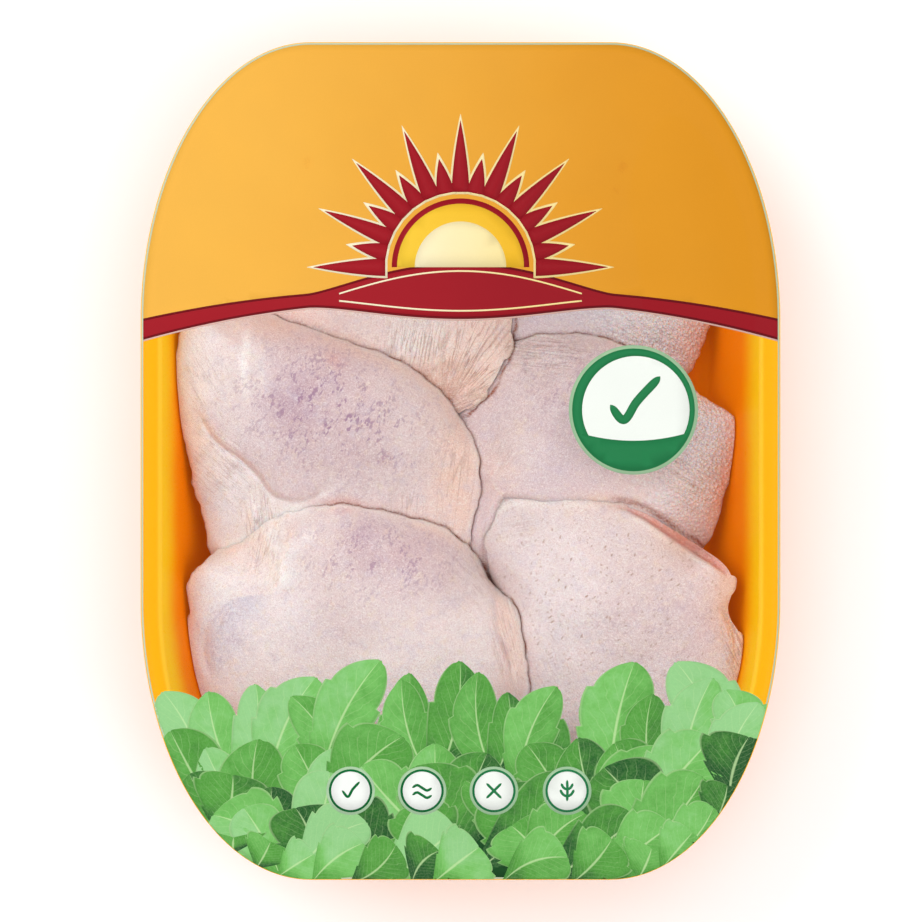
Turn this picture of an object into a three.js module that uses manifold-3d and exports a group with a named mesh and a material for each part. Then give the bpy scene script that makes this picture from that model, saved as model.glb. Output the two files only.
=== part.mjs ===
// A sealed retail tray of raw chicken thighs: a deep plastic tray with a flat rim, a clear lid film sealed
// on the rim, and six thighs with their skin on, skin side up, lying in three rows of two like shingles.
// Millimetres. +Z is up, +X is right and +Y is towards the back (the top of the pack as it is read).
// The origin is under the middle of the pack, on the surface that it stands on.
import * as THREE from "three";
import Module from "manifold-3d";
import { mergeVertices } from "three/addons/utils/BufferGeometryUtils.js";

const manifold = await Module();
manifold.setup();

// ---- driving dimensions -------------------------------------------------------------------------------

const pack = {
  width: 192, // across, over the rim
  length: 251.4, // front to back, over the rim
  height: 46, // from the table to the top of the rim
  cornerWide: 51, // each corner is a quarter of an ellipse: this far across,
  cornerLong: 83.7, // and this far along
  cornerSteps: 16, // edges in a corner
};

const tray = {
  rim: 6.5, // how wide the flat rim is
  rimThickness: 1.2,
  rimRound: 0.8, // how the rim's inner edge rolls over into the wall
  lipDrop: 3.2, // how far the rim's outer edge turns down
  lipThickness: 1,
  lipBevel: 0.4,
  wall: 1.1,
  wallRun: 12, // how far the wall leans in on its way down
  floorRound: 6, // radius of the round edge between wall and floor
  footWidth: 9, // width of the flat ring that the tray stands on
  footSlope: 1.5, // width of the slope from that ring up to the middle of the under side
  footRise: 1.4, // height of that slope
};

const film = {
  thickness: 0.5,
  seal: 0.1, // gap to the rim's top face
  edge: 0.3, // how far the film's edge stays inside the rim's
  crown: 3.2, // how far the contents push the middle up
  crownRun: 40, // how far in from the rim that rise is spread
  crownSteps: [0, 6, 14, 24, 40], // rings along that run
};

const clearance = 0.35; // kept between the thighs, and from them to the tray and the film

// Each thigh's outline, seen from above, runs anticlockwise from its right-hand side. Points are [x, y].
// middle: where the spokes of its rings meet.
// edge: height of the outline at the middle. lean: how much it rises towards +x and +y, per millimetre.
// crown: how far the skin side swells above the outline. belly: how far the under side hangs below it.
// swells: [x, y, radius, height] of the lumps and hollows that the muscles make under the skin.
// A thigh lies on those that come after it in this list.
const thighs = {
  thigh_front_left: {
    outline: [
      [20.6, -72], [19, -54], [16.2, -43.5], [10.5, -38], [5.5, -29.5], [-3.5, -21], [-18, -16.3],
      [-37, -13.2], [-55, -16.5], [-66, -23.5], [-76, -29], [-82, -35.5], [-82.7, -48], [-82.3, -61],
      [-78, -78], [-64, -95], [-38, -107], [-8, -106], [13, -94],
    ],
    middle: [-31, -58],
    edge: 27,
    lean: [0.06, 0.2],
    crown: 14.5,
    belly: 26,
    swells: [[-18, -48, 20, 2], [-68, -57, 12, -2], [-50, -35, 9, -1.4]],
  },
  thigh_front_right: {
    outline: [
      [83.3, -39.3], [82.4, -32.7], [72, -24.6], [54, -13.8], [42, -12], [28, -12], [13, -12.2], [9.5, -19],
      [7, -26.2], [8.4, -36], [11, -60], [14, -86], [30, -104], [54, -105], [74, -92], [84, -72],
      [87, -59.5], [85.6, -51.5], [80.6, -46],
    ],
    middle: [47, -55],
    edge: 26,
    lean: [0.2, 0.12],
    crown: 14.5,
    belly: 25,
    swells: [[40, -45, 20, 1.4], [72, -62, 12, -1.2]],
  },
  thigh_middle_left: {
    outline: [
      [6.2, -4.5], [4.8, 5], [0.5, 12.6], [-7, 21.9], [-17, 29.8], [-34.7, 36.5], [-48.2, 41.2], [-60, 45.6],
      [-71, 49.5], [-80, 46.5], [-84.6, 38], [-86.6, 27], [-85.6, 16], [-83, 4], [-81.4, -7], [-78.6, -16],
      [-75, -30], [-62, -40], [-38, -42], [-10, -36], [2, -26], [4.6, -16],
    ],
    middle: [-40, 6],
    edge: 26,
    lean: [-0.05, 0.2],
    crown: 15,
    belly: 25,
    swells: [[-27, 6, 21, 1.8], [-68, -18, 14, -3], [-70, 28, 12, 1]],
  },
  thigh_back_left: {
    outline: [
      [18, 62], [15, 86], [0, 104], [-30, 110], [-58, 105], [-76, 88], [-83, 64], [-76, 43], [-60, 26],
      [-42, 16], [-20, 10], [-2, 12], [8.8, 19.8], [13.4, 28], [16.2, 36], [17.2, 45],
    ],
    middle: [-30, 58],
    edge: 19,
    lean: [0.08, 0.1],
    crown: 15,
    belly: 20,
    swells: [[-36, 62, 22, 2.4], [6, 32, 10, -1.5]],
  },
  thigh_middle_right: {
    outline: [
      [84.6, 9], [84, 12.6], [78, 17], [68.9, 22.9], [55, 32.6], [43.5, 37.4], [30, 38.8], [16.4, 36.6],
      [7, 26], [0.5, 9], [0.5, -8], [6, -24], [20, -34], [42, -36], [66, -33], [75.8, -24],
      [80.2, -11.6], [82.6, -2.5],
    ],
    middle: [47, 6],
    edge: 18,
    lean: [0.18, 0.2],
    crown: 14.5,
    belly: 20,
    swells: [[34, 8, 22, 1.8], [70, 4, 12, -1]],
  },
  thigh_back_right: {
    outline: [
      [79, 56], [79, 76], [70, 95], [52, 108], [30, 106], [16, 88], [12, 62], [11, 44], [20, 30],
      [36, 22], [54, 20.5], [68, 25.4], [73.6, 33], [76.6, 43],
    ],
    middle: [46, 62],
    edge: 15,
    lean: [0.03, 0.1],
    crown: 14,
    belly: 17,
    swells: [[44, 66, 20, 2]],
  },
};

const thighForm = {
  around: 44, // edges round an outline
  crownRings: 8, // rings between the outline and the top
  bellyRings: 4, // and between the outline and the under side
  crowding: 1.6, // above 1, the rings crowd towards the outline
  fullness: 3, // 2 is a plain ellipsoid, more is flatter on top with a rounder shoulder
  softening: 14, // how often the outline's corners are evened out on the way to the top
};

const looks = {
  tray: { color: 0xf7a81b, roughness: 0.4, metalness: 0 },
  film: { color: 0xf4f1ec, roughness: 0.15, metalness: 0, transparent: true, opacity: 0.35 },
  thigh: { color: 0xe6c6bd, roughness: 0.45, metalness: 0 },
};

// ---- shared shapes ------------------------------------------------------------------------------------

// The pack's outline set in by `inset`, at height z, anticlockwise from its right-hand side.
function packRing(inset, z) {
  const corners = [[1, 1], [-1, 1], [-1, -1], [1, -1]];
  return corners.flatMap(([signX, signY], corner) =>
    Array.from({ length: pack.cornerSteps + 1 }, (_, step) => {
      const angle = ((corner + step / pack.cornerSteps) * Math.PI) / 2;
      return new THREE.Vector3(
        signX * (pack.width / 2 - pack.cornerWide) + (pack.cornerWide - inset) * Math.cos(angle),
        signY * (pack.length / 2 - pack.cornerLong) + (pack.cornerLong - inset) * Math.sin(angle),
        z,
      );
    }),
  );
}

// A closed skin over rings of equal length, from a point inside the first ring to one inside the last.
function closedLoft(start, rings, end) {
  const count = rings[0].length;
  const at = (ring, i) => 1 + ring * count + (i % count);
  const top = rings.length - 1;
  const last = 1 + rings.length * count;
  const faces = [];
  for (let i = 0; i < count; i++) {
    faces.push(0, at(0, i + 1), at(0, i));
    for (let ring = 0; ring < top; ring++) {
      faces.push(at(ring, i), at(ring, i + 1), at(ring + 1, i + 1));
      faces.push(at(ring, i), at(ring + 1, i + 1), at(ring + 1, i));
    }
    faces.push(at(top, i), at(top, i + 1), last);
  }
  const geometry = new THREE.BufferGeometry();
  geometry.setFromPoints([start, ...rings.flat(), end]);
  geometry.setIndex(faces);
  return geometry;
}

function solidFrom(geometry) {
  const merged = mergeVertices(geometry);
  return new manifold.Manifold(
    new manifold.Mesh({
      numProp: 3,
      vertProperties: merged.attributes.position.array,
      triVerts: new Uint32Array(merged.index.array),
    }),
  );
}

function geometryFrom(solid) {
  const { vertProperties, triVerts } = solid.getMesh();
  const geometry = new THREE.BufferGeometry();
  geometry.setAttribute("position", new THREE.BufferAttribute(new Float32Array(vertProperties), 3));
  geometry.setIndex(new THREE.BufferAttribute(new Uint32Array(triVerts), 1));
  geometry.computeVertexNormals();
  return geometry;
}

// ---- tray ---------------------------------------------------------------------------------------------

// The inner wall from the floor's round edge up to the rim, as [inset, z], standing in by `gap`.
function innerWallProfile(gap) {
  const wallTop = tray.rim + gap;
  const wallFoot = wallTop + tray.wallRun;
  const floor = tray.footRise + tray.wall + gap;
  const roundSteps = 3;
  const profile = [];
  for (let step = 0; step <= roundSteps; step++) {
    const angle = ((step / roundSteps) * Math.PI) / 2;
    profile.push([
      wallFoot + tray.floorRound * (1 - Math.sin(angle)),
      floor + tray.floorRound * (1 - Math.cos(angle)),
    ]);
  }
  profile.push([wallTop, pack.height - tray.rimRound]);
  return profile;
}

// One closed profile taken round the pack: the foot, the wall outside, the rim, and the wall inside.
function makeTray() {
  const rimUnder = pack.height - tray.rimThickness;
  const lipUnder = pack.height - tray.lipDrop;
  const wallTop = tray.rim - tray.wall;
  const wallFoot = wallTop + tray.wallRun;
  const footOuter = wallFoot + tray.floorRound;
  const footInner = footOuter + tray.footWidth;
  const profile = [
    [footInner + tray.footSlope, tray.footRise],
    [footInner, 0],
    [footOuter, 0],
    [wallFoot + tray.floorRound / 3, tray.floorRound / 4],
    [wallFoot, tray.floorRound],
    [wallTop, rimUnder],
    [tray.lipThickness, rimUnder],
    [tray.lipThickness, lipUnder],
    [0, lipUnder],
    [0, pack.height - tray.lipBevel],
    [tray.lipBevel, pack.height],
    [tray.rim - tray.rimRound, pack.height],
    ...innerWallProfile(0).reverse(),
  ];
  const rings = profile.map(([inset, z]) => packRing(inset, z));
  const floor = new THREE.Vector3(0, 0, tray.footRise + tray.wall);
  return closedLoft(new THREE.Vector3(0, 0, tray.footRise), rings, floor);
}

// ---- lid film -----------------------------------------------------------------------------------------

// Rings of a surface at height z over the rim that rises to the crown `run` further in.
function crownRings(z) {
  return film.crownSteps.map((run) => {
    const rise = film.crown * Math.sin(((run / film.crownRun) * Math.PI) / 2);
    return packRing(tray.rim + run, z + rise);
  });
}

function makeFilm() {
  const under = pack.height + film.seal;
  const over = under + film.thickness;
  const rings = [
    ...crownRings(under).reverse(),
    packRing(film.edge, under),
    packRing(film.edge, over),
    ...crownRings(over),
  ];
  return closedLoft(
    new THREE.Vector3(0, 0, under + film.crown),
    rings,
    new THREE.Vector3(0, 0, over + film.crown),
  );
}

// ---- thighs -------------------------------------------------------------------------------------------

// The room that the thighs share: inside the tray and under the film, less the clearance.
function makeRoom() {
  const walls = innerWallProfile(clearance).map(([inset, z]) => packRing(inset, z));
  const ceiling = pack.height + film.seal - clearance;
  const floor = new THREE.Vector3(0, 0, tray.footRise + tray.wall + clearance);
  const top = new THREE.Vector3(0, 0, ceiling + film.crown);
  return solidFrom(closedLoft(floor, [...walls, ...crownRings(ceiling).slice(1)], top));
}

// How far the muscles under the skin lift it at (x, y).
function swell(thigh, x, y) {
  return thigh.swells.reduce((sum, [atX, atY, radius, height]) => {
    const distance = Math.hypot(x - atX, y - atY) / radius;
    return sum + height * Math.exp(-distance * distance);
  }, 0);
}

// A closed ring of lengths with each one drawn towards its neighbours, `passes` times over.
function evened(lengths, passes) {
  let result = lengths;
  for (let pass = 0; pass < passes; pass++) {
    const last = result;
    result = last.map((length, i) => (last.at(i - 1) + 2 * length + last[(i + 1) % last.length]) / 4);
  }
  return result;
}

// The rings' shares of the way from the middle to the outline, outermost first.
function ringShares(count) {
  return Array.from({ length: count }, (_, i) => 1 - ((i + 1) / (count + 1)) ** thighForm.crowding);
}

// The outline as spokes from the thigh's middle, evenly spaced along it.
function makeSpokes(thigh) {
  const points = thigh.outline.map(([x, y]) => new THREE.Vector3(x - thigh.middle[0], y - thigh.middle[1]));
  const curve = new THREE.CatmullRomCurve3(points, true);
  const evenly = curve.getSpacedPoints(thighForm.around).slice(0, -1);
  return evenly.map((point) => ({ angle: Math.atan2(point.y, point.x), length: point.length() }));
}

// One thigh as it would lie alone, grown outwards by `grow` on every side.
function makeThigh(thigh, grow) {
  const spokes = makeSpokes(thigh);

  // side is 1 on the skin side and -1 on the under side.
  const surfacePoint = (awayX, awayY, lift, side) => {
    const x = thigh.middle[0] + awayX;
    const y = thigh.middle[1] + awayY;
    const edge = thigh.edge + thigh.lean[0] * awayX + thigh.lean[1] * awayY;
    const rise = side > 0 ? thigh.crown + swell(thigh, x, y) : -thigh.belly;
    return new THREE.Vector3(x, y, edge + lift * (rise + side * grow));
  };

  const ring = (share, side) => {
    const passes = Math.round(thighForm.softening * (1 - share));
    const lengths = evened(
      spokes.map((spoke) => spoke.length),
      passes,
    );
    const lift = Math.sqrt(1 - share ** thighForm.fullness);
    return spokes.map(({ angle }, i) => {
      const reach = share * (lengths[i] + grow);
      return surfacePoint(reach * Math.cos(angle), reach * Math.sin(angle), lift, side);
    });
  };

  const belly = ringShares(thighForm.bellyRings).map((share) => ring(share, -1));
  const crown = ringShares(thighForm.crownRings).map((share) => ring(share, 1));
  const rings = [...belly.reverse(), ring(1, 1), ...crown];
  return solidFrom(closedLoft(surfacePoint(0, 0, 1, -1), rings, surfacePoint(0, 0, 1, 1)));
}

// The largest of the pieces that are left of a thigh once its neighbours are cut from it.
function largest(solid) {
  return solid.decompose().reduce((best, piece) => (piece.volume() > best.volume() ? piece : best));
}

// ---- the pack -----------------------------------------------------------------------------------------

const group = new THREE.Group();

function add(name, geometry, look) {
  const mesh = new THREE.Mesh(geometry, new THREE.MeshStandardMaterial(look));
  mesh.name = name;
  group.add(mesh);
}

add("tray", makeTray(), looks.tray);
add("lid_film", makeFilm(), looks.film);

const room = makeRoom();
const above = [];
for (const [name, thigh] of Object.entries(thighs)) {
  let solid = makeThigh(thigh, 0).intersect(room);
  for (const upper of above) solid = solid.subtract(upper);
  add(name, geometryFrom(largest(solid)), looks.thigh);
  above.push(makeThigh(thigh, clearance));
}

export default group;
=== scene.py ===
import math

import bpy
import numpy as np
from mathutils import Matrix, Vector, geometry as flatGeometry


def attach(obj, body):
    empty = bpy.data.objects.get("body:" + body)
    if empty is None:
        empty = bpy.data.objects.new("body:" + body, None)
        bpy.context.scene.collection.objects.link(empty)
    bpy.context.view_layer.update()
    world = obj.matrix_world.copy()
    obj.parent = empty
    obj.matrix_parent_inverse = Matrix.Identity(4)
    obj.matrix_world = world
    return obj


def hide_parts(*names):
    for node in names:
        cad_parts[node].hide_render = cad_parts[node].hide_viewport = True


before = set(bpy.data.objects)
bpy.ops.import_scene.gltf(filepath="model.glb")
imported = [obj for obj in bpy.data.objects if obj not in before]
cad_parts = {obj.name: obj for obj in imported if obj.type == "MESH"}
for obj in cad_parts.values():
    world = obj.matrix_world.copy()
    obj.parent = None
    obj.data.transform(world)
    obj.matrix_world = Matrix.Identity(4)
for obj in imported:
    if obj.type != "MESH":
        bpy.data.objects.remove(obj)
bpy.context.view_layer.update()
scene = bpy.context.scene
mm = 0.001  # sizes below are in millimetres, and Blender's are in metres

# the pack's outline, and the film over it, as the frame has them
pack = {"width": 192, "length": 251.4, "height": 46, "cornerWide": 51, "cornerLong": 83.7}
film = {"seal": 0.1, "thickness": 0.2, "edge": 0.3, "rim": 6.5, "crown": 3.2, "crownRun": 40}


# ---- nodes ----

def addNode(tree, kind, values=None, **settings):
    node = tree.nodes.new(kind)
    for name, value in settings.items():
        setattr(node, name, value)
    for socket, value in (values or {}).items():
        if isinstance(value, bpy.types.NodeSocket):
            tree.links.new(value, node.inputs[socket])
        else:
            node.inputs[socket].default_value = value
    return node


def calc(tree, operation, *values):
    return addNode(tree, "ShaderNodeMath", dict(enumerate(values)), operation=operation).outputs[0]


def remap(tree, value, low, high, start=0.0, end=1.0):
    # low to high becomes start to end, with soft ends
    values = {0: value, 1: low, 2: high, 3: start, 4: end}
    return addNode(tree, "ShaderNodeMapRange", values, interpolation_type="SMOOTHSTEP").outputs[0]


def mixColour(tree, factor, first, second, blend="MIX"):
    values = {0: factor, 6: first, 7: second}
    return addNode(tree, "ShaderNodeMix", values, data_type="RGBA", blend_type=blend).outputs[2]


def noise(tree, vector, scale, detail=2.0, roughness=0.5):
    values = {"Vector": vector, "Scale": scale, "Detail": detail, "Roughness": roughness}
    return addNode(tree, "ShaderNodeTexNoise", values).outputs[0]


def attribute(tree, name, output="Fac"):
    return addNode(tree, "ShaderNodeAttribute", attribute_name=name).outputs[output]


def rgb(red, green, blue):
    # a colour as picked on a screen, 0 to 255, made linear
    shares = [c / 255 for c in (red, green, blue)]
    return (*[((s + 0.055) / 1.055) ** 2.4 if s > 0.04 else s / 12.92 for s in shares], 1)


def newGroup(name, inputs, outputs):
    # a shader node group; inputs are {name: (socket kind, value)} and outputs {name: socket kind}
    tree = bpy.data.node_groups.new(name, "ShaderNodeTree")
    for socket, (kind, value) in inputs.items():
        made = tree.interface.new_socket(socket, in_out="INPUT", socket_type=kind)
        if value is not None:
            made.default_value = value
    for socket, kind in outputs.items():
        tree.interface.new_socket(socket, in_out="OUTPUT", socket_type=kind)
    return tree, tree.nodes.new("NodeGroupInput").outputs, tree.nodes.new("NodeGroupOutput")


def ownPlace(tree):
    # the object's own coordinates, in millimetres
    place = addNode(tree, "ShaderNodeTexCoord").outputs["Object"]
    return addNode(tree, "ShaderNodeMapping", {"Vector": place, "Scale": (1000, 1000, 1000)}).outputs[0]


def newMaterial(name, fixed):
    # a Principled material with its fixed values, and the place that its patterns read
    material = bpy.data.materials.new(name)
    material.use_nodes = True
    tree = material.node_tree
    tree.nodes.clear()
    shader = addNode(tree, "ShaderNodeBsdfPrincipled", fixed)
    addNode(tree, "ShaderNodeOutputMaterial", {"Surface": shader.outputs[0]})
    return material, tree, shader, ownPlace(tree)


def addBump(tree, shader, height, strength, distance):
    values = {"Height": height, "Strength": strength, "Distance": distance * mm}
    tree.links.new(addNode(tree, "ShaderNodeBump", values).outputs[0], shader.inputs["Normal"])


# ---- the pack's shared shape ----

def packRing(inset, steps):
    # the pack's outline set in, anticlockwise from its right-hand side
    ring = []
    for corner, (signX, signY) in enumerate([(1, 1), (-1, 1), (-1, -1), (1, -1)]):
        angle = (corner + np.linspace(0, 1, steps + 1)) * np.pi / 2
        x = signX * (pack["width"] / 2 - pack["cornerWide"]) + (pack["cornerWide"] - inset) * np.cos(angle)
        y = signY * (pack["length"] / 2 - pack["cornerLong"]) + (pack["cornerLong"] - inset) * np.sin(angle)
        ring.append(np.column_stack([x, y]))
    return np.concatenate(ring)


def insetAt(x, y):
    # how far a point is in from the pack's outline
    overX = np.abs(x) - (pack["width"] / 2 - pack["cornerWide"])
    overY = np.abs(y) - (pack["length"] / 2 - pack["cornerLong"])
    low = np.full(np.shape(x), -60.0)
    high = np.full(np.shape(x), pack["cornerWide"] - 0.01)
    for _ in range(24):
        middle = (low + high) / 2
        wide, long = pack["cornerWide"] - middle, pack["cornerLong"] - middle
        beyond = (overX / wide) ** 2 + (overY / long) ** 2 > 1
        high = np.where(beyond, middle, high)
        low = np.where(beyond, low, middle)
    straight = np.minimum(pack["cornerWide"] - overX, pack["cornerLong"] - overY)
    return np.where((overX > 0) & (overY > 0), low, straight)


def filmUnder(x, y):
    # height of the film's under side, which the contents push up in the middle
    run = np.clip((insetAt(x, y) - film["rim"]) / film["crownRun"], 0, 1)
    run = run * run * 1.2 / (run + 0.2)  # it leaves the rim level
    return pack["height"] + film["seal"] + film["crown"] * np.sin(run * np.pi / 2)


def filmTop(x, y):
    return filmUnder(x, y) + film["thickness"]


def clampToPack(points, inset):
    # points outside the pack's outline are drawn in to it
    points = np.array(points, float)
    for _ in range(4):
        x, y = points[:, 0], points[:, 1]
        short = np.maximum(inset - insetAt(x, y), 0)
        slopeX = (insetAt(x + 0.05, y) - insetAt(x - 0.05, y)) / 0.1
        slopeY = (insetAt(x, y + 0.05) - insetAt(x, y - 0.05)) / 0.1
        steep = np.maximum(slopeX ** 2 + slopeY ** 2, 0.2)
        points[:, 0] += short * slopeX / steep
        points[:, 1] += short * slopeY / steep
    return points


# ---- meshes ----

def makeObject(name, points, faces, material):
    mesh = bpy.data.meshes.new(name)
    mesh.from_pydata((np.asarray(points, float) * mm).tolist(), [], faces)
    mesh.update()
    mesh.polygons.foreach_set("use_smooth", [True] * len(mesh.polygons))
    mesh.materials.append(material)
    piece = bpy.data.objects.new(name, mesh)
    scene.collection.objects.link(piece)
    return piece


def finishPiece(piece, slot, *nodes):
    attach(piece, "root")
    if nodes:
        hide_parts(*nodes)
    return piece


def addAttribute(mesh, name, kind, values):
    made = mesh.attributes.new(name, kind, "POINT")
    if kind == "FLOAT_COLOR":
        values = np.column_stack([values, np.ones(len(values))])
    key = {"FLOAT": "value", "FLOAT_VECTOR": "vector", "FLOAT_COLOR": "color"}[kind]
    made.data.foreach_set(key, np.asarray(values, np.float32).ravel())


def ringFaces(rings, count, closed=True):
    # quads between rings of points, each one anticlockwise and the next one further up
    across = count if closed else count - 1
    at = lambda ring, i: ring * count + i % count
    return [
        (at(ring, i), at(ring, i + 1), at(ring + 1, i + 1), at(ring + 1, i))
        for ring in range(rings - 1) for i in range(across)
    ]


def closedLoft(start, rings, end):
    # points and faces of a closed skin over rings, from a point in the first to one in the last
    count = len(rings[0])
    last = len(rings) * count
    faces = ringFaces(len(rings), count)
    faces += [(last, (i + 1) % count, i) for i in range(count)]
    faces += [(last - count + i, last - count + (i + 1) % count, last + 1) for i in range(count)]
    return np.concatenate([*rings, [start], [end]]), faces


def stretchOf(points, step):
    # a line of points with more added, so that none are further apart than step
    result = []
    for first, second in zip(points[:-1], points[1:]):
        pieces = max(1, math.ceil(np.hypot(*(second - first)) / step))
        result += [first + (second - first) * i / pieces for i in range(pieces)]
    return np.array(result + [points[-1]])


def smoothCurve(points, step, closed=False):
    # a centripetal spline through points, with one point each step or less
    points = np.array(points, float)
    if closed:
        padded = np.concatenate([points[-1:], points, points[:2]])
    else:
        padded = np.concatenate([[2 * points[0] - points[1]], points, [2 * points[-1] - points[-2]]])
    result = []
    for p0, p1, p2, p3 in zip(padded, padded[1:], padded[2:], padded[3:]):
        gaps = [np.hypot(*(b - a)) ** 0.5 + 1e-6 for a, b in ((p0, p1), (p1, p2), (p2, p3))]
        slope1 = ((p1 - p0) / gaps[0] - (p2 - p0) / (gaps[0] + gaps[1]) + (p2 - p1) / gaps[1]) * gaps[1]
        slope2 = ((p2 - p1) / gaps[1] - (p3 - p1) / (gaps[1] + gaps[2]) + (p3 - p2) / gaps[2]) * gaps[1]
        t = np.linspace(0, 1, max(3, math.ceil(gaps[1] ** 2 / step) + 1))[:-1, None]
        result.append(
            (2 * t ** 3 - 3 * t ** 2 + 1) * p1 + (t ** 3 - 2 * t ** 2 + t) * slope1
            + (3 * t ** 2 - 2 * t ** 3) * p2 + (t ** 3 - t ** 2) * slope2
        )
    return np.concatenate(result if closed else [*result, points[-1:]])


def evenly(curve, count, closed=False):
    # count points at even distances along a curve
    if closed:
        curve = np.concatenate([curve, curve[:1]])
    run = np.concatenate([[0], np.cumsum(np.hypot(*np.diff(curve, axis=0).T))])
    wanted = np.linspace(0, run[-1], count + 1)[:-1] if closed else np.linspace(0, run[-1], count)
    return np.column_stack([np.interp(wanted, run, curve[:, k]) for k in (0, 1)])


def distanceTo(line, x, y):
    # distance from a line of points, the side (above 0 on its left), and the share of the way along it
    best = np.full(np.shape(x), 1e9)
    side, along = np.zeros(np.shape(x)), np.zeros(np.shape(x))
    line = np.array(line, float)
    for i, (a, b) in enumerate(zip(line[:-1], line[1:])):
        run = b - a
        t = np.clip(((x - a[0]) * run[0] + (y - a[1]) * run[1]) / (run @ run), 0, 1)
        gap = np.hypot(x - a[0] - t * run[0], y - a[1] - t * run[1])
        nearer = gap < best
        best = np.where(nearer, gap, best)
        side = np.where(nearer, np.sign(run[0] * (y - a[1]) - run[1] * (x - a[0])), side)
        along = np.where(nearer, (i + t) / (len(line) - 1), along)
    return best, side, along


def isInside(outline, x, y):
    inside = np.zeros(np.shape(x), bool)
    for (ax, ay), (bx, by) in zip(outline, np.roll(outline, -1, 0)):
        crosses = (ay > y) != (by > y)
        inside ^= crosses & (x < (bx - ax) * (y - ay) / (by - ay + 1e-9) + ax)
    return inside


def softNoise(x, y, size, seed):
    # soft random lumps about size across, from -1 to 1
    lattice = np.random.default_rng(seed).uniform(-1, 1, (64, 64))
    u, v = x / size, y / size
    i, j = np.floor(u).astype(int), np.floor(v).astype(int)
    u, v = u - i, v - j
    u, v = u * u * (3 - 2 * u), v * v * (3 - 2 * v)
    at = lambda a, b: lattice[a % 64, b % 64]
    low = at(i, j) * (1 - u) + at(i + 1, j) * u
    high = at(i, j + 1) * (1 - u) + at(i + 1, j + 1) * u
    return low * (1 - v) + high * v


# ---- camera, light and floor ----

studio = {
    "lens": 200, "sensor": 36, "across": 276.6,  # the view is this wide at the rim's height
    # power, size, place, and which rays see the lamp
    "lamps": {
        "key": [13, 1.2, (-1.15, 0.85, 1.15), "diffuse"], "fill": [8.7, 1.4, (1.25, -0.55, 1.1), "diffuse"],
        "top": [12.6, 1.5, (0, 0.1, 1.75), "diffuse"], "glint": [1.1, 0.22, (-0.75, 0.7, 1.6), "glossy"],
    },
    "sky": 0.5, "zenith": 0.08,
    "floor": (0.91, 0.93, 0.95, 1), "floorCloud": (0.93, 0.95, 0.97, 1), "floorGlow": 0.12, "floorHalf": 3000,
}


def makeStudio():
    camera = bpy.data.cameras.new("camera")
    camera.lens, camera.sensor_width = studio["lens"], studio["sensor"]
    camera.clip_end = 20
    away = studio["across"] * studio["lens"] / studio["sensor"]
    cameraObject = bpy.data.objects.new("camera", camera)
    cameraObject.location = (0.15 * mm, 0, (away + pack["height"]) * mm)
    scene.collection.objects.link(cameraObject)
    scene.camera = cameraObject
    for name, (power, size, place, rays) in studio["lamps"].items():
        lamp = bpy.data.lights.new(name, "AREA")
        lamp.energy, lamp.size = power, size
        lampObject = bpy.data.objects.new(name, lamp)
        lampObject.location = place
        lampObject.rotation_euler = (-Vector(place)).to_track_quat("-Z", "Y").to_euler()
        lampObject.visible_glossy = rays == "glossy"
        lampObject.visible_diffuse = rays == "diffuse"
        scene.collection.objects.link(lampObject)
    world = bpy.data.worlds.new("studio")
    world.use_nodes = True
    tree = world.node_tree
    background = tree.nodes["Background"]
    background.inputs[0].default_value = (1, 1, 1, 1)
    up = addNode(tree, "ShaderNodeSeparateXYZ", {0: addNode(tree, "ShaderNodeTexCoord").outputs["Generated"]})
    # dark overhead, where flat film mirrors it
    sky = remap(tree, up.outputs[2], 0.88, 0.985, studio["sky"], studio["zenith"])
    tree.links.new(sky, background.inputs[1])
    scene.world = world
    scene.view_settings.view_transform = "Standard"
    # the floor is lit from below, as on a light table
    fixed = {
        "Roughness": 0.7, "Specular IOR Level": 0.2,
        "Emission Color": (1, 1, 1, 1), "Emission Strength": studio["floorGlow"],
    }
    material, tree, shader, place = newMaterial("paleFloor", fixed)
    shade = mixColour(tree, noise(tree, place, 0.02), studio["floor"], studio["floorCloud"])
    tree.links.new(shade, shader.inputs["Base Color"])
    half = studio["floorHalf"]
    corners = [(-half, -half, 0), (half, -half, 0), (half, half, 0), (-half, half, 0)]
    makeObject("floor", corners, [(0, 1, 2, 3)], material)


makeStudio()
print("studio ready")


# ---- tray ----

tray = {
    "rimRoll": 2.6,  # radius of the roll from the rim down into the wall
    "lipDrop": 3.2, "lipThickness": 1, "rimThickness": 1.2, "wall": 1.1, "wallRun": 12,
    "floorRound": 6, "footWidth": 9, "footSlope": 1.5, "footRise": 1.4,
    "steps": 40,  # edges in a corner
    # painted light and shade: the wall is lighter near the rim and a deeper orange lower down
    "rimColour": rgb(255, 175, 22), "litWallColour": rgb(255, 200, 22), "paintedShadeColour": rgb(248, 130, 2),
    "shadeFrom": 29, "shadeTo": 43.5,
    # a painted highlight along the roll
    "rollHighlightColour": rgb(255, 204, 60), "rollHighlightShare": 0.8,
    "paintedGlow": 0.1,  # painted glow: emission that stands in for light coming through the thin wall
}


def arc(centre, radius, start, end, steps):
    # points of an arc in the profile, from one angle in degrees to another
    angles = np.radians(np.linspace(start, end, steps))
    return [(centre[0] + radius * math.cos(a), centre[1] + radius * math.sin(a)) for a in angles]


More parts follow.
